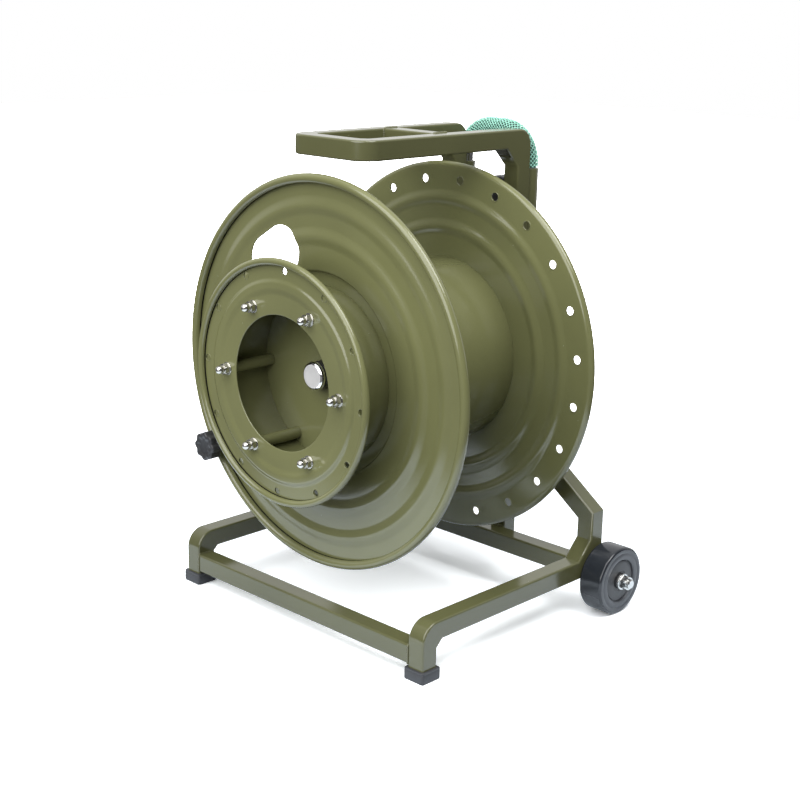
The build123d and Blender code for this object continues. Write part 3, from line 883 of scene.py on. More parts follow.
@dataclass(frozen=True)
class Ridge:
    """A pressed ring: its crest radius, the widths of its two slopes and its flat top, and its height."""

    crest: float
    inner_slope: float
    outer_slope: float
    top: float
    height: float

    def rise(self, radius: float) -> float:
        """Height of the ridge.

        Args:
            radius: Distance from the drum axis.

        Returns:
            The height there.
        """
        inner_top = self.crest - self.top / 2
        outer_top = self.crest + self.top / 2
        up = smooth(inner_top - self.inner_slope, inner_top, radius)
        down = smooth(outer_top, outer_top + self.outer_slope, radius)
        return self.height * (up - down)


@dataclass(frozen=True)
class Holes:
    """A ring of round holes."""

    count: int
    circle: float
    radius: float
    phase: float


@dataclass(frozen=True)
class Flange:
    """Pressed sheet disc with ridges and a rolled rim."""

    node: str
    opening: float
    web: float
    rim: float
    bead: float
    curl: Curl
    ridges: tuple[Ridge, ...]
    holes: Holes
    seat: tuple[float, float, float] = (0.0, 0.0, 0.0)
    step: float = 1.0
    lip: float = 0.4
    gap: float = 0.42
    sharp: float = 48.0

    def front(self, radius: float) -> float:
        """Place of the front face along Y.

        Args:
            radius: Distance from the drum axis.

        Returns:
            The place there.
        """
        depth, start, end = self.seat
        sunk = depth * (1 - smooth(start, end, radius)) if depth else 0.0
        return self.web + sunk - sum(ridge.rise(radius) for ridge in self.ridges)

    @property
    def meet(self) -> float:
        """Distance across the rolled rim from its middle to the sheet's front face."""
        return sqrt(self.bead ** 2 - (self.bead - SHEET) ** 2)

    @property
    def curl_start(self) -> float:
        """Radius at which the sheet meets the rolled rim."""
        return self.rim - self.bead - self.meet

    @property
    def gap_height(self) -> float:
        """Height of the gap that the rolled rim leaves open."""
        return self.gap * self.bead

    @property
    def gap_end(self) -> float:
        """Radius of the bottom of that gap."""
        return self.curl_start + 1.5 * self.gap_height

    def shade_gap(self, disc: Piece) -> None:
        """Paint a near-black shade into the gap under the rolled rim, where no light gets in.

        Args:
            disc: The finished flange.
        """
        disc.data.materials.append(GAP_SHADE.material())
        for face in disc.data.polygons:
            middle = face.center / MM
            radius = hypot(middle.x, middle.z - AXLE_HEIGHT)
            above = self.web - middle.y - DEPTH_MIDDLE
            in_reach = self.curl_start < radius < self.gap_end + 0.1
            if in_reach and -0.05 < above < self.gap_height + 0.05:
                face.material_index = 1

    def profile(self) -> list[Point]:
        """Closed section of the sheet: front face, rolled rim, back face and the edge of the opening.

        Returns:
            The points of the section, as a radius and a place along Y.
        """
        half = SHEET / 2
        centre_r = self.rim - self.bead
        start = self.opening + half
        end = self.curl_start
        count = int((end - start) / self.step)
        radii = [start + (end - start) * i / count for i in range(count + 1)]
        front = thinned([(r, self.front(r)) for r in radii])
        back = thinned([(r, self.front(r) + SHEET) for r in reversed(radii)])
        lean = 180 - degrees(atan2(self.bead - SHEET, self.meet))
        edge = arc((start, self.front(start) + half), half, 90, 270, 6)[1:-1]
        if self.curl is Curl.FRONT:
            centre = (centre_r, self.web + SHEET - self.bead)
            gap, deep = self.gap_height, self.gap_end
            open_at = 180 - degrees(asin((self.bead - SHEET - gap) / self.bead))
            # The crevice starts 0.8 mm inside the rim so that the painted shade of shade_gap reaches onto the
            # web as a narrow strip.
            crevice = [(end - 0.8, self.web), (deep, self.web - 0.05), (deep, self.web - gap)]
            rolled = arc(centre, self.bead, open_at, 450, 26)
            return front[:-1] + crevice + rolled + back + edge
        centre = (centre_r, self.web + self.bead)
        return front + arc(centre, self.bead, -90, 360 - lean, 26)[:-1] + back + edge

    def build(self, tree: Growth, cutter: Piece | None = None) -> Piece:
        """Make the flange, with its holes and any other cut.

        Args:
            tree: The tree that cuts the holes.
            cutter: A solid that is cut away too.

        Returns:
            The flange.
        """
        disc = Draft().lathe(self.profile(), DRUM_AXIS, RIM_STEPS).build(f"{self.node}_pressing", self.sharp)
        holes = self.holes
        values = dict(
            Count=holes.count, Radius=holes.circle * MM, Phase=radians(holes.phase),
            Centre=place(0, self.front(holes.circle), AXLE_HEIGHT),
            Hole=holes.radius * MM, Depth=SHEET * 6 * MM, Lip=self.lip * MM,
        )
        if cutter:
            values["Cutter"] = cutter
        tree.grow(disc, OLIVE, **values)
        disc.data.set_sharp_from_angle(angle=radians(self.sharp))
        return disc


def thinned(points: Sequence[Point]) -> list[Point]:
    """Leave out the points of a line that lie on a straight run.

    Args:
        points: The points of the line.

    Returns:
        The points that are kept.
    """
    kept = [points[0]]
    for before, here, after in zip(points, points[1:], points[2:]):
        rise = (here[1] - before[1]) * (after[0] - here[0])
        bend = rise - (after[1] - here[1]) * (here[0] - before[0])
        if abs(bend) > 1e-4:
            kept.append(here)
    return kept + [points[-1]]


@dataclass
class Drum:
    """The turning drum: three pressed flanges, two cores, tie pillars with their nuts, and the hub."""

    front_flange: Flange = Flange(
        "front_flange", 13.5, -86.25, 190.0, 4.5, Curl.FRONT,
        (Ridge(131, 10, 10, 0, 1.8), Ridge(160, 10, 10, 0, 1.8)),
        Holes(1, 173.0, 3.0, 214.6), (5.0, 96.5, 100.5), 1.0, 0.2,
    )
    rear_flange: Flange = Flange(
        "rear_flange", 13.5, 84.75, 190.0, 4.5, Curl.BACK,
        (Ridge(125, 9, 9, 0, 2.0), Ridge(154, 9, 9, 0, 2.0)),
        Holes(23, 173.2, 4.5, 6.0), step=1.0, lip=0.45,
    )
    pilot_flange: Flange = Flange(
        "pilot_flange", 64.3, -137.0, 117.5, 3.5, Curl.FRONT,
        (Ridge(92, 8, 4.4, 4, 1.5),),
        Holes(12, 106.3, 3.5, -3.0), step=0.8, lip=0.35,
    )
    main_core: tuple[float, float, float] = (95.0, -79.75, 84.75)
    pilot_core: tuple[float, float, float] = (86.0, -135.5, -81.25)
    slot_size: tuple[float, float] = (74.0, 50.0)
    slot_radius: float = 124.5
    slot_angle: float = 122.0
    pillar_circle: float = 77.25
    pillar_radius: float = 6.0
    pillar_count: int = 6
    seat_face: float = -81.25
    hub_radius: float = 13.5
    hub_front: float = -91.0
    hub_bore: float = 10.05
    hub_plate: tuple[float, float, float] = (55.0, 86.25, 89.25)
    hub_boss: tuple[float, float] = (17.5, 95.25)
    nut_size: float = 10.0
    nut_height: float = 6.0
    nut_washer: tuple[float, float, float] = (4.5, 6.2, 0.8)
    dome_neck: float = 3.9
    dome_radius: float = 4.2
    dome_start: float = 9.2
    dome_height: float = 4.3
    rear_nut_height: float = 4.0
    rod_radius: float = 2.9

    def slot_outline(self) -> list[Vector]:
        """Outline of the cable opening.

        Returns:
            Places around it, across the drum axis.
        """
        long, wide = self.slot_size
        half = arc(((long - wide) / 2, 0), wide / 2, -90, 90, 20)
        flat = half + [(-u, -v) for u, v in half]
        turn = radians(self.slot_angle)
        centre = Vector((cos(turn), 0, sin(turn))) * self.slot_radius
        tangent = Vector((-sin(turn), 0, cos(turn)))
        outward = centre.normalized()
        return [centre + tangent * u + outward * v for u, v in flat]

    def slot_cutter(self) -> Piece:
        """Solid that cuts the cable opening.

        Returns:
            The solid.
        """
        lift = Vector((0, 0, AXLE_HEIGHT))
        rings = [[p + lift + Y_AXIS * y for p in self.slot_outline()] for y in (-100.0, -70.0)]
        return Draft().loft(rings, cap=True).build("cable_opening_cutter")

    def slot_edge(self) -> Piece:
        """Rounded edge of the sheet around the cable opening.

        Returns:
            The edge, as a piece of its own.
        """
        rings = []
        outline = self.slot_outline()
        middle = sum(outline, Vector()) / len(outline)
        for point in outline:
            out = (point - middle).normalized()
            level = self.front_flange.front(hypot(point.x, point.z)) + SHEET / 2
            base = Vector((point.x, level, point.z + AXLE_HEIGHT))
            section = arc((0, 0), SHEET / 2 + 0.15, 0, 315, 7)
            rings.append([base + out * u + Y_AXIS * v for u, v in section])
        return Draft().loft(rings, closed=True).build("cable_opening_edge", 80)

    def tube(self, name: str, size: tuple[float, float, float]) -> Piece:
        """Rolled core with softened edges.

        Args:
            name: Name of the piece.
            size: Its outer radius, and its two ends along Y.

        Returns:
            The core.
        """
        radius, start, end = size
        corners = [(radius - SHEET, start), (radius, start), (radius, end), (radius - SHEET, end)]
        return Draft().lathe(rounded(corners, 0.4, 2), DRUM_AXIS, RIM_STEPS).build(name)

    def pillar(self, name: str, start: float, end: float) -> Piece:
        """One tie pillar, with a turned neck near its front end.

        Args:
            name: Name of the piece.
            start: Its front end along Y.
            end: Its rear end along Y.

        Returns:
            The pillar, about the origin.
        """
        r = self.pillar_radius
        neck = r - 0.35
        profile = [
            (0, start), (r - 0.5, start), (r, start + 0.5), (r, start + 1.6), (neck, start + 1.9),
            (neck, start + 2.4), (r, start + 2.7), (r, end - 0.5), (r - 0.5, end), (0, end),
        ]
        return Draft().lathe(profile, FREE_AXIS, 40, False).build(name)

    def acorn_nut(self) -> Piece:
        """One acorn nut with its washer, seated at y = 0 and pointing to -Y.

        Returns:
            The nut, about the origin.
        """
        inner, outer, thick = self.nut_washer
        r, start = self.dome_radius, -self.dome_start
        washer = [(inner, 0), (outer, 0), (outer, -thick), (inner, -thick)]
        draft = Draft().lathe(rounded(washer, 0.3, 3), FREE_AXIS, 48)
        draft.loft(nut_rings(FREE_AXIS, self.nut_size, -thick, -self.nut_height, self.dome_neck))
        dome = [(self.dome_neck, -5.6), (r - 0.15, -6.3), (r, -7.4), (r, start)]
        stretch = self.dome_height / r
        for radius, y in arc((0, start), r, 0, -90, 10)[1:]:
            dome.append((max(radius, 0.0), start + (y - start) * stretch))
        return draft.lathe(dome, FREE_AXIS, 48, False).build("acorn_nuts_bright", 30)

    def rear_nut(self) -> Piece:
        """One hexagon nut behind the rear flange, with the end of its rod.

        Returns:
            The nut, about the origin.
        """
        r, end = self.rod_radius, self.rear_nut_height
        draft = Draft().loft(nut_rings(FREE_AXIS, self.nut_size, 0, end, r))
        draft.lathe([(r, end - 0.8), (r, end - 0.4), (r - 0.5, end), (0, end)], FREE_AXIS, 32, False)
        return draft.build("rear_nuts_bright", 30)

    def hub(self) -> Piece:
        """Black hub tube with its plate and boss.

        Returns:
            The hub.
        """
        r, bore = self.hub_radius, self.hub_bore
        plate, plate_front, plate_back = self.hub_plate
        boss, boss_back = self.hub_boss
        profile = [
            (bore, self.hub_front), (r, self.hub_front), (r, plate_front), (plate, plate_front),
            (plate, plate_back), (boss, plate_back), (boss, boss_back), (bore, boss_back),
        ]
        return Draft().lathe(rounded(profile, 0.6, 3), DRUM_AXIS, 96).build("hub_turned")

    def ring(
        self, tree: Growth, single: Piece, finish: Finish,
        level: float, turn: float, seed: int, node: str,
    ) -> None:
        """Set a piece on every pillar place.

        Args:
            tree: The tree that makes the ring.
            single: The piece, about the origin.
            finish: Its finish.
            level: Its place along Y.
            turn: Largest random turn, in radians.
            seed: Seed of the turns.
            node: CAD node that the ring replaces.
        """
        values = dict(Count=self.pillar_count, Radius=self.pillar_circle * MM, Phase=0.0,
                      Centre=place(0, level, AXLE_HEIGHT), Turn=turn, Seed=seed)
        settle(tree.grow(single, finish, **values), finish, Body.DRUM, node)

    def build(self) -> None:
        """Make every piece of the drum."""
        sheet = perforated_tree()
        cutter = self.slot_cutter()
        front = settle(self.front_flange.build(sheet, cutter), OLIVE, Body.DRUM, "front_flange")
        self.front_flange.shade_gap(front)
        bpy.data.objects.remove(cutter)
        settle(self.slot_edge(), OLIVE, Body.DRUM)
        settle(self.rear_flange.build(sheet), OLIVE, Body.DRUM, "rear_flange")
        pilot = settle(self.pilot_flange.build(sheet), OLIVE, Body.DRUM, "pilot_flange")
        self.pilot_flange.shade_gap(pilot)
        settle(self.tube("main_core_rolled", self.main_core), OLIVE, Body.DRUM, "main_core")
        settle(self.tube("pilot_core_rolled", self.pilot_core), OLIVE, Body.DRUM, "pilot_core")
        ring = ring_tree()
        pilot_back = self.pilot_flange.web + SHEET
        seat_back = self.seat_face + SHEET
        main = self.pillar("main_pillars_turned", 0, self.rear_flange.web - seat_back)
        self.ring(ring, main, OLIVE, seat_back, 0.0, 1, "main_pillars")
        pilot = self.pillar("pilot_pillars_turned", pilot_back - self.seat_face, 0)
        self.ring(ring, pilot, OLIVE, self.seat_face, 0.0, 2, "pilot_pillars")
        self.ring(ring, self.acorn_nut(), NUT_STEEL, self.pilot_flange.web, 1.0, 7, "acorn_nuts")
        self.ring(ring, self.rear_nut(), ZINC, self.rear_flange.web + SHEET, 1.0, 9, "rear_nuts")
        settle(self.hub(), BLACK_PAINT, Body.DRUM, "hub")
        settle(cad_copy("knob_stud"), ZINC, Body.DRUM, "knob_stud")


@dataclass
class HandKnob:
    """Black star knob on the front flange."""

    angle: float = 214.6
    circle: float = 173.0
    front: float = -116.25
    back: float = -88.25
    radius: float = 15.0
    valley: float = 12.9
    lobes: int = 8
    head: float = 13.0
    neck: float = 7.0
    bore: float = 3.1
    depth: float = 18.0
    steps: int = 160

    def outline(self, angle: float, inset: float) -> float:
        """Radius of the star at an angle, drawn in by an inset."""
        wave = abs(cos(self.lobes * angle / 2)) ** 1.6
        return self.valley + (self.radius - self.valley) * wave - inset

    def build(self) -> None:
        """Loft the head from its dished face to the neck."""
        turn = radians(self.angle)
        centre = Vector((self.circle * cos(turn), 0, AXLE_HEIGHT + self.circle * sin(turn)))
        spindle = Spindle(centre, X_AXIS, Z_AXIS, Y_AXIS)
        front, back, neck = self.front, self.back, self.neck
        rear = front + self.head
        levels = [
            (front + 0.9, 7.0), (front + 0.7, 5.6), (front + 0.1, 4.6), (front, 2.4), (front + 0.15, 1.1),
            (front + 0.6, 0.35), (front + 1.4, 0.0), (rear - 1.6, 0.0), (rear - 0.5, 0.5), (rear, 1.6),
        ]
        shank = [
            (neck + 0.8, rear), (neck, rear + 1.2), (neck, back - 0.6), (neck - 0.6, back),
            (self.bore, back), (self.bore, back - self.depth),
        ]
        angles = [tau * j / self.steps for j in range(self.steps)]
        rings = [[spindle.point(a, self.outline(a, inset), y) for a in angles] for y, inset in levels]
        rings += [[spindle.point(a, radius, y) for a in angles] for radius, y in shank]
        knob = Draft().loft(rings, cap=True).build("hand_knob_star", 50)
        settle(knob, KNOB_PLASTIC, Body.KNOB, "hand_knob")


@dataclass
class Axle:
    """Fixed shaft with its collar and nut, its bright cap and the plate that carries it."""

    radius: float = 10.0
    front: float = -92.0
    cap_front: float = -98.0
    cap_radius: float = 14.0
    collar: tuple[float, float, float] = (18.0, 95.75, 138.0)
    plate_back: float = 146.0
    nut_end: float = 154.0
    nut_size: float = 30.0
    thread: float = 9.0

    def cap(self) -> None:
        """Make the cap: a satin face in a bright rim."""
        r, face, seat = self.cap_radius, self.cap_front, self.front
        section = [
            (0, face + 0.25), (r * 0.5, face + 0.2), (r - 3.4, face), (r - 2.6, face + 0.12),
            (r - 0.9, face + 1.2), (r, face + 2.6), (r, seat - 1.6), (r - 0.8, seat - 0.5),
            (r - 2.2, seat), (0, seat),
        ]
        disc = Draft().lathe(section, DRUM_AXIS, 96, False).build("axle_cap_bright", 24)
        settle(disc, SATIN, Body.FRAME, "axle_cap")
        disc.data.materials.append(CHROME.material())
        for side in disc.data.polygons:
            middle = side.center / MM
            outside = hypot(middle.x, middle.z - AXLE_HEIGHT) > r - 2.4
            side.material_index = int(outside or middle.y + DEPTH_MIDDLE > face + 2.0)

    def build(self) -> None:
        """Make the shaft, its cap and its plate."""
        r = self.radius
        ring, start, end = self.collar
        shaft = [
            (0, self.front), (r, self.front), (r, start), (ring - 0.8, start), (ring, start + 0.8),
            (ring, end - 0.01), (ring, end), (r, end), (r, self.plate_back),
        ]
        thread, tip = self.thread, self.nut_end
        draft = Draft().lathe(shaft, DRUM_AXIS, 64, False)
        draft.loft(nut_rings(DRUM_AXIS, self.nut_size, self.plate_back, tip, thread))
        point = [(thread, tip), (thread - 0.4, tip), (thread - 1.2, tip - 0.6), (0, tip - 0.6)]
        draft.lathe(point, DRUM_AXIS, 72, False)
        settle(draft.build("axle_turned"), ZINC, Body.FRAME, "axle")
        self.cap()
        settle(cad_copy("axle_plate"), STAND_OLIVE_SHADED, Body.FRAME, "axle_plate")


@dataclass
class Stand:
    """Welded square-tube stand with rubber feet, handle sockets, wheel brackets and the drum lock."""

    side: float = 170.0
    leg_front: float = -118.0
    foot_wall: float = 2.6
    foot_height: float = 11.6
    leg_floor: float = 3.0
    socket_x: float = 42.5
    socket_y: float = 161.0
    socket_outer: float = 9.5
    socket_inner: float = 7.3
    socket_ends: tuple[float, float] = (100.0, 433.5)
    upright_front: float = 132.5
    upright_inner: float = 33.0
    handle: tuple[float, float] = (455.0, 474.0)
    lock_pin: float = 2.5
    foot_corner: float = 2.6
    front_tube: Point = (14.0, 33.0)
    rear_tube: Point = (37.0, 56.0)
    cross_bar: Point = (27.0, 46.0)
    upright_foot: Point = (40.0, 56.0)
    axle_plate: tuple[Point, Point] = ((138.0, 146.0), (216.0, 286.0))
    socket_welds: tuple[float, ...] = (118.0, 400.0, 424.0)
    socket_weld: Point = (7.0, 152.2)
    socket_run: Point = (-9.0, 3.0)
    weld_step: float = 0.9
    weld_size: float = 1.25
    tubes: tuple[str, ...] = ("front_cross_tube", "rear_cross_tube", "handle_front_bar", "handle_cross_bar")
    paired: tuple[str, ...] = ("side_tube", "upright", "wheel_bracket")

    def foot(self, side: Side) -> None:
        """Rubber cap with rounded edges around the end of a leg.

        Args:
            side: Which leg.
        """
        middle = Vector((side.value * (self.side - TUBE / 2), self.leg_front + TUBE / 2, 0))
        inner = TUBE / 2
        outer = inner + self.foot_wall
        top = self.foot_height
        levels = [
            (outer - 2.2, 0.0), (outer - 0.5, 0.15), (outer, 1.0), (outer, top - 2.6),
            (outer - 0.25, top - 2.2), (outer - 0.25, top - 1.9), (outer, top - 1.5),
            (outer - 0.1, top - 0.4), (outer - 0.6, top), (inner, top), (inner, self.leg_floor),
        ]
        rings = []
        for half, z in levels:
            square = rounded([(-half, -half), (half, -half), (half, half), (-half, half)], self.foot_corner, 6)
            rings.append([middle + Vector((u, v, z)) for u, v in square])
        cap = Draft().loft(rings, cap=True).build(f"foot_{side.word}_cap", 40)
        settle(cap, FOOT_RUBBER, Body.FRAME, f"foot_{side.word}")

    def socket(self, side: Side) -> None:
        """Tube of the pull handle, with rounded ends.

        Args:
            side: Which tube.
        """
        low, high = self.socket_ends
        inner, outer = self.socket_inner, self.socket_outer
        spindle = Spindle(Vector((side.value * self.socket_x, self.socket_y, 0)), X_AXIS, Y_AXIS, Z_AXIS)
        section = rounded([(inner, low), (outer, low), (outer, high), (inner, high)], 0.7, 3)
        tube = Draft().lathe(section, spindle, 56).build(f"socket_{side.word}_tube")
        settle(tube, STAND_OLIVE_SHADED, Body.FRAME, f"socket_{side.word}")

    def lock(self) -> None:
        """Moulded block with rounded edges, and its pin."""
        low, high = (Vector(c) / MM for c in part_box("drum_lock"))
        pin_front = low.y + DEPTH_MIDDLE
        back = high.y + DEPTH_MIDDLE
        middle = Vector(((low.x + high.x) / 2, 0, (low.z + high.z) / 2))
        wide = (high.x - low.x) / 2
        tall = (high.z - low.z) / 2
        rings = []
        front = self.upright_front
        for inset, y in ((1.0, front), (0.0, front + 1.0), (0.0, back - 1.0), (1.0, back)):
            w, t = wide - inset, tall - inset
            outline = rounded([(-w, -t), (w, -t), (w, t), (-w, t)], 1.6, 4)
            rings.append([middle + Vector((u, y, v)) for u, v in outline])
        draft = Draft().loft(rings, cap=True)
        pin = Spindle(Vector((middle.x, 0, high.z - self.lock_pin - 0.5)), X_AXIS, Z_AXIS, Y_AXIS)
        r = self.lock_pin
        shank = [(0, pin_front), (r - 0.8, pin_front), (r, pin_front + 0.8), (r, front + 0.5)]
        draft.lathe(shank, pin, 32, False)
        settle(draft.build("drum_lock_body"), KNOB_PLASTIC, Body.FRAME, "drum_lock")

    def weld_paths(self) -> list[list[Vector]]:
        """Lines where the tubes are welded.

        Returns:
            The corners of each closed line.
        """
        front, back, inside = self.leg_front, self.upright_front, self.upright_inner
        paths = []
        for side in Side:
            s = side.value
            rail = s * (self.side - TUBE)
            upright = (s * inside, s * (inside + TUBE))
            paths.append(square_path(X_AXIS, rail, (front, front + TUBE), self.front_tube))
            paths.append(square_path(X_AXIS, rail, (back - TUBE, back), self.rear_tube))
            paths.append(square_path(X_AXIS, s * inside, self.cross_bar, self.handle))
            paths.append(square_path(Y_AXIS, back, upright, self.upright_foot))
            paths.append(square_path(X_AXIS, s * inside, *self.axle_plate))
        return paths

    def welds(self) -> None:
        """Weld beads at the joints of the tubes and of the sockets."""
        verts, edges = [], []
        for path in self.weld_paths():
            base = len(verts)
            verts += [place(*p) for p in path]
            edges += [(base + i, base + (i + 1) % len(path)) for i in range(len(path))]
        out, y = self.socket_weld
        below, above = self.socket_run
        for side in Side:
            x = side.value * (self.socket_x + out)
            for z in self.socket_welds:
                base = len(verts)
                verts += [place(x, y, z + below), place(x, y, z + above)]
                edges.append((base, base + 1))
        beads = line_piece("stand_welds", verts, edges)
        values = dict(Step=self.weld_step * MM, Size=self.weld_size * MM, Uneven=0.35, Seed=4)
        weld_tree().grow(beads, STAND_OLIVE_SHADED, **values)
        settle(beads, STAND_OLIVE_SHADED, Body.FRAME)

    def build(self) -> None:
        """Make every piece of the stand."""
        for node in self.tubes:
            settle(cad_copy(node), STAND_OLIVE_SHADED, Body.FRAME, node)
        for side in Side:
            for node in self.paired:
                settle(cad_copy(f"{node}_{side.word}"), STAND_OLIVE_SHADED, Body.FRAME, f"{node}_{side.word}")
            self.foot(side)
            self.socket(side)
        self.lock()
        self.welds()


def square_path(axis: Vector, level: float, first: Point, second: Point) -> list[Vector]:
    """Corners of a square line across an axis, with small cut corners.

    Args:
        axis: X or Y, the axis that the square lies across.
        level: Place along that axis.
        first: Extent along the other level axis.
        second: Extent along Z.

    Returns:
        The places of the corners in order.
    """
    cut = CORNER_CUT
    a0, a1 = sorted(first)
    b0, b1 = second
    flat = [
        (a0 + cut, b0), (a1 - cut, b0), (a1, b0 + cut), (a1, b1 - cut),
        (a1 - cut, b1), (a0 + cut, b1), (a0, b1 - cut), (a0, b0 + cut),
    ]
    if axis is X_AXIS:
        return [Vector((level, u, v)) for u, v in flat]
    return [Vector((u, level, v)) for u, v in flat]


@dataclass
class Wheel:
    """Hard rubber wheel with a moulded hub, a washer, a nut and the end of its bolt."""

    side: Side
    y: float = 143.4
    radius: float = 34.75
    inner: float = 171.0
    outer: float = 198.0
    hub: float = 22.0
    recess: float = 1.5
    bore: float = 5.05
    washer: tuple[float, float] = (197.0, 201.0)
    washer_radius: float = 8.5
    nut_end: float = 208.0
    nut_size: float = 13.0
    bolt: Point = (4.98, 4.9)
    bolt_ends: Point = (164.0, 211.0)
    edges: Point = (3.4, 2.6)

    def spindle(self) -> Spindle:
        """Axis of the wheel, pointing outward."""
        return Spindle(Vector((0, self.y, self.radius)), Y_AXIS, Z_AXIS, X_AXIS * self.side.value)

    def tyre(self) -> list[Point]:
        """Section of the wheel, from the bore round the tread and over the sunk hub.

        Returns:
            The points of the section, as a radius and a distance along the spindle.
        """
        r, face, hub, bore = self.radius, self.outer, self.hub, self.bore
        floor = face - self.recess
        soft, crisp = self.edges
        inner_edge = arc((r - soft, self.inner + soft), soft, 270, 360, 8)
        outer_edge = arc((r - crisp, face - crisp), crisp, 0, 80, 8)
        ring = [
            (r - 4.0, face), (r - 5.2, face - 0.05), (r - 5.9, face - 0.5), (r - 6.4, face - 0.55),
            (r - 7.2, face - 0.1), (hub + 1.2, face), (hub + 0.3, face - 0.35), (hub, face - 0.9),
        ]
        sunk = [
            (hub - 0.1, floor - 0.9), (hub - 0.9, floor - 1.1), (hub - 1.5, floor - 0.2), (hub - 2.4, floor),
            (12.0, floor + 0.3), (10.4, floor + 0.35), (9.9, floor - 0.1), (bore, floor - 0.1),
        ]
        return [(bore, self.inner)] + inner_edge + outer_edge + ring + sunk

    def fasteners(self) -> Piece:
        """Bolt of the wheel, with its washer and nut.

        Returns:
            The three as one piece.
        """
        spindle = self.spindle()
        shank, thread = self.bolt
        start, end = self.bolt_ends
        low, high = self.washer
        wide = self.washer_radius
        draft = Draft().lathe([(0, start), (shank, start), (shank, low)], spindle, 40, False)
        washer = [(thread, low), (wide, low), (wide, high), (thread, high)]
        draft.lathe(rounded(washer, 0.8, 4), spindle, 56)
        draft.loft(nut_rings(spindle, self.nut_size, high, self.nut_end, thread))
        tip = [(thread, self.nut_end), (thread, end - 1.0), (thread - 0.9, end), (0, end - 0.15)]
        return draft.lathe(tip, spindle, 40, False).build(f"wheel_bolt_{self.side.word}_bright", 30)

    def build(self) -> None:
        """Make the wheel and the fasteners on its bolt."""
        word = self.side.word
        wheel = Draft().lathe(self.tyre(), self.spindle(), 128).build(f"wheel_{word}_tyre", 40)
        settle(wheel, WHEEL_TREAD, Body(f"wheel_{word}"), f"wheel_{word}")
        for finish in (WHEEL_RING, WHEEL_HUB):
            wheel.data.materials.append(finish.material())
        for face in wheel.data.polygons:
            centre = face.center / MM
            radius = hypot(centre.y + DEPTH_MIDDLE - self.y, centre.z - self.radius)
            if radius < self.radius - 2.8 and abs(centre.x) > self.outer - 3.5:
                face.material_index = 2 if radius < self.hub - 0.5 else 1
        settle(self.fasteners(), BOLT_STEEL, Body.FRAME, f"wheel_bolt_{word}")


@dataclass
class PullHandle:
    """Bent bar that slides in the sockets, with a protective net over its top."""

    x: float = 42.5
    y: float = 161.0
    top: float = 472.0
    bend: float = 33.5
    left_end: float = 60.0
    net_low: float = 434.5
    strands: int = 14
    net_pitch: float = 50.0
    net_radius: float = 8.6
    net_wave: float = 0.3
    net_wire: float = 0.40
    net_step: float = 0.6
    # Radius of the dark sheet inside the net that paints the shade in its gaps.
    liner: float = 7.35

    def net_path(self) -> list[Vector]:
        """Middle line of the net, from the left bend over the top to the right leg.

        Returns:
            The places along it.
        """
        bend_x = self.x - self.bend
        bend_z = self.top - self.bend
        left = [(-1, self.left_end * (1 - i / 12)) for i in range(13)]
        right = [(1, 90 * i / 18) for i in range(19)]
        places = []
        for side, angle in left + right:
            a = radians(angle)
            places.append(Vector((side * (bend_x + self.bend * sin(a)), self.y, bend_z + self.bend * cos(a))))
        return places + [Vector((self.x, self.y, self.net_low))]

    def braid(self, path: Sequence[Vector]) -> Piece:
        """Net of crossing strands.

        Args:
            path: Its middle line.

        Returns:
            The net.
        """
        edges = [(i, i + 1) for i in range(len(path) - 1)]
        net = line_piece("net_sleeve_braid", [place(*p) for p in path], edges)
        values = dict(Strands=self.strands, Pitch=self.net_pitch * MM, Radius=self.net_radius * MM,
                      Wave=self.net_wave * MM, Wire=self.net_wire * MM, Step=self.net_step * MM)
        return braid_tree().grow(net, MINT_NET, **values)

    def lining(self, path: Sequence[Vector]) -> Piece:
        """Dark sheet inside the net, which paints the shade and the dark reflection seen through the gaps
        between its strands.

        Args:
            path: Its middle line.

        Returns:
            The dark sheet.
        """
        rings = []
        for before, here, after in zip([path[0], *path], path, [*path[1:], path[-1]]):
            side = (after - before).normalized().cross(Y_AXIS)
            rings.append([here + side * u + Y_AXIS * v for u, v in arc((0, 0), self.liner, 0, 345, 23)])
        return Draft().loft(rings).build("net_sleeve_liner", 60)

    def build(self) -> None:
        """Make the bar and its net."""
        settle(cad_copy("pull_handle", 40), CHROME, Body.PULL_HANDLE, "pull_handle")
        path = self.net_path()
        settle(self.braid(path), MINT_NET, Body.PULL_HANDLE, "net_sleeve")
        # Dark sheet inside the net: painted shade and painted reflection for the gaps between the strands.
        settle(self.lining(path), NET_SHADE_PAINT, Body.PULL_HANDLE)


@dataclass
class Lamp:
    """A softbox: where it stands, its size, its strength and its tint, aimed at the middle of the reel."""

    name: str
    place: tuple[float, float, float]
    size: float
    power: float
    tint: Colour = (1.0, 1.0, 1.0)
    aim: float = 0.22

    def build(self) -> None:
        """Add the lamp."""
        light = bpy.data.lights.new(self.name, "AREA")
        light.shape = "DISK"
        light.size = self.size
        light.energy = self.power
        light.color = self.tint
        lamp = linked(self.name, light)
        lamp.location = self.place
        beam = Vector((0, 0, self.aim)) - Vector(self.place)
        lamp.rotation_euler = beam.to_track_quat("-Z", "Y").to_euler()


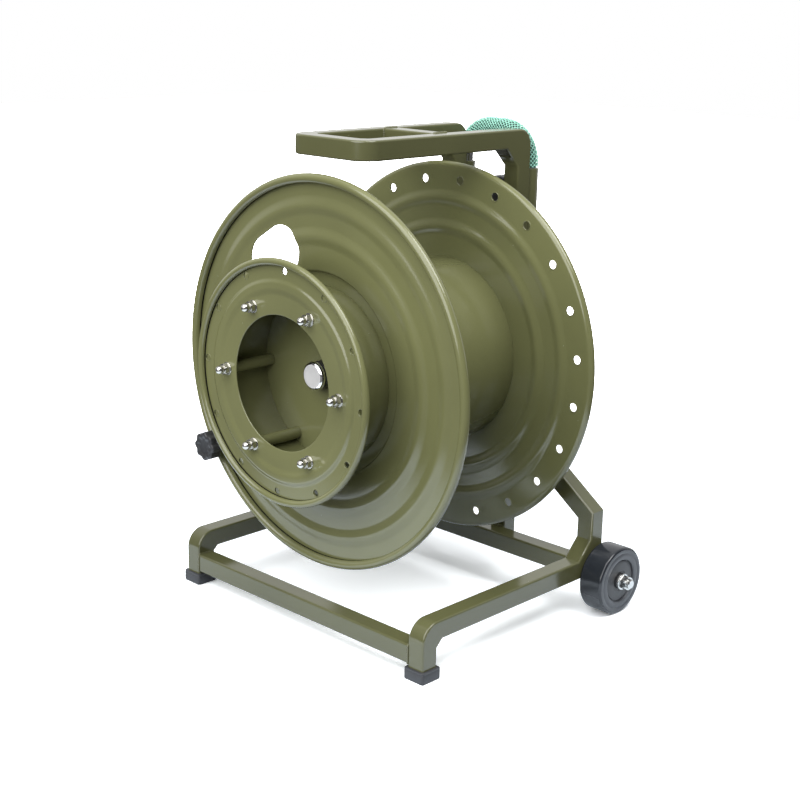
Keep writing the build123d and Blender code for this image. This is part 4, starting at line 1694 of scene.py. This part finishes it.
@dataclass
class Studio:
    """White studio: floor, softboxes, surround and the camera."""

    azimuth: float = 43.7604
    elevation: float = 15.49034
    roll: float = 1.15015
    focal_px: float = 1463.188
    shift: tuple[float, float] = (19.9528, 202.2373)
    distance: float = 1516.7213
    picture_px: float = 800.0
    sensor: float = 36.0
    room_side: tuple[float, float, float] = (0.69, -0.72, 0.0)
    room_level: float = 0.12
    backdrop_edge: tuple[float, float] = (-0.45, 0.05)
    ceiling_edge: tuple[float, float] = (0.6, 0.95)
    floor_reach: float = 6.0
    paper: Colour = (0.22, 0.23, 0.24)
    paper_mirrored: Colour = (0.92, 1.02, 1.12)
    paper_seen: Colour = (1.40, 1.44, 1.48)
    paper_far: Colour = (6.0, 6.0, 6.0)
    horizon: tuple[float, float] = (0.5, 1.6)
    beyond: Colour = (0.10, 0.10, 0.10)
    paper_edge: tuple[float, float] = (0.46, 0.62)
    lamps: tuple[Lamp, ...] = (
        Lamp("key_softbox", (0.15, -1.85, 1.55), 3.0, 92.0),
        Lamp("top_softbox", (0.9, 0.0, 1.8), 1.2, 26.0),
    )

    def camera(self) -> None:
        """Camera that was fitted to the photograph."""
        a, e, r = radians(self.azimuth), radians(self.elevation), radians(self.roll)
        back = Vector((sin(a) * cos(e), -cos(a) * cos(e), sin(e)))
        level = (-back).cross(Z_AXIS).normalized()
        above = level.cross(-back)
        right = level * cos(r) + above * sin(r)
        up = above * cos(r) - level * sin(r)
        spot = right * self.shift[0] + up * self.shift[1] + back * self.distance
        turn = Matrix((right, up, back)).transposed().to_4x4()
        data = bpy.data.cameras.new("photo_camera")
        data.sensor_width = self.sensor
        data.lens = self.focal_px * self.sensor / self.picture_px
        data.clip_end = 20.0
        camera = linked("photo_camera", data)
        camera.matrix_world = Matrix.Translation(place(*spot)) @ turn
        bpy.context.scene.camera = camera

    def surround(self) -> None:
        """World that is white to the camera, and a room with a white backdrop and ceiling around the reel."""
        world = bpy.data.worlds.new("white_surround")
        world.use_nodes = True
        wiring = Wiring(world.node_tree)
        world.node_tree.nodes.clear()
        seen = wiring.sock("ShaderNodeLightPath", "Is Camera Ray")
        way = wiring.sock("ShaderNodeTexCoord", "Generated")
        toward = {0: way, 1: self.room_side}
        forward = wiring.sock("ShaderNodeVectorMath", "Value", {"operation": "DOT_PRODUCT"}, toward)
        height = wiring.sock("ShaderNodeSeparateXYZ", 2, None, {0: way})
        backdrop = 1 - forward.between(*self.backdrop_edge)
        ceiling = height.between(*self.ceiling_edge)
        white = wiring.math("MAXIMUM", backdrop, ceiling)
        room = self.room_level + (1 - self.room_level) * white
        strength = wiring.math("MAXIMUM", room, seen)
        sky = wiring.sock("ShaderNodeBackground", 0, None, {"Color": (1, 1, 1, 1), "Strength": strength})
        wiring.node("ShaderNodeOutputWorld", None, {"Surface": sky})
        bpy.context.scene.world = world

    def floor(self) -> None:
        """White sheet under the reel that takes its soft shadow; far out it is white to the camera alone."""
        mesh = bpy.data.meshes.new("studio_floor")
        r = self.floor_reach
        mesh.from_pydata([(-r, -r, 0), (r, -r, 0), (r, r, 0), (-r, r, 0)], [], [(0, 1, 2, 3)])
        floor = linked("studio_floor", mesh)
        graph = Graph("studio_floor_finish")
        rays = graph.node("ShaderNodeLightPath").outputs
        seen = Sock(graph, rays["Is Camera Ray"])
        mirrored = Sock(graph, rays["Is Glossy Ray"]) + Sock(graph, rays["Is Transmission Ray"])
        away = graph.sock("ShaderNodeVectorMath", "Value", {"operation": "LENGTH"}, {0: graph.place})
        grain = graph.noise(40.0)
        paper = graph.mix(grain, self.paper, scaled(self.paper, 0.97))
        bright = graph.mix(mirrored.between(0.0, 1.0), paper, self.paper_mirrored)
        around = graph.mix(away.between(*self.paper_edge), bright, self.beyond)
        shown = graph.mix(away.between(*self.horizon), self.paper_seen, self.paper_far)
        shader = graph.sock("ShaderNodeBsdfDiffuse", 0, None, {"Color": graph.mix(seen, around, shown)})
        graph.tree.links.new(shader.socket, graph.end.inputs[0])
        mesh.materials.append(graph.material)

    def build(self) -> None:
        """Set up the whole studio."""
        self.floor()
        self.surround()
        for lamp in self.lamps:
            lamp.build()
        self.camera()
        bpy.context.scene.view_settings.view_transform = "Standard"


def main() -> None:
    """Build the reel and its studio."""
    logging.basicConfig(level=logging.INFO, format="%(message)s")
    Drum().build()
    HandKnob().build()
    Axle().build()
    Stand().build()
    for side in Side:
        Wheel(side).build()
    PullHandle().build()
    Studio().build()
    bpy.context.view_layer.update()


if __name__ == "__main__":
    main()
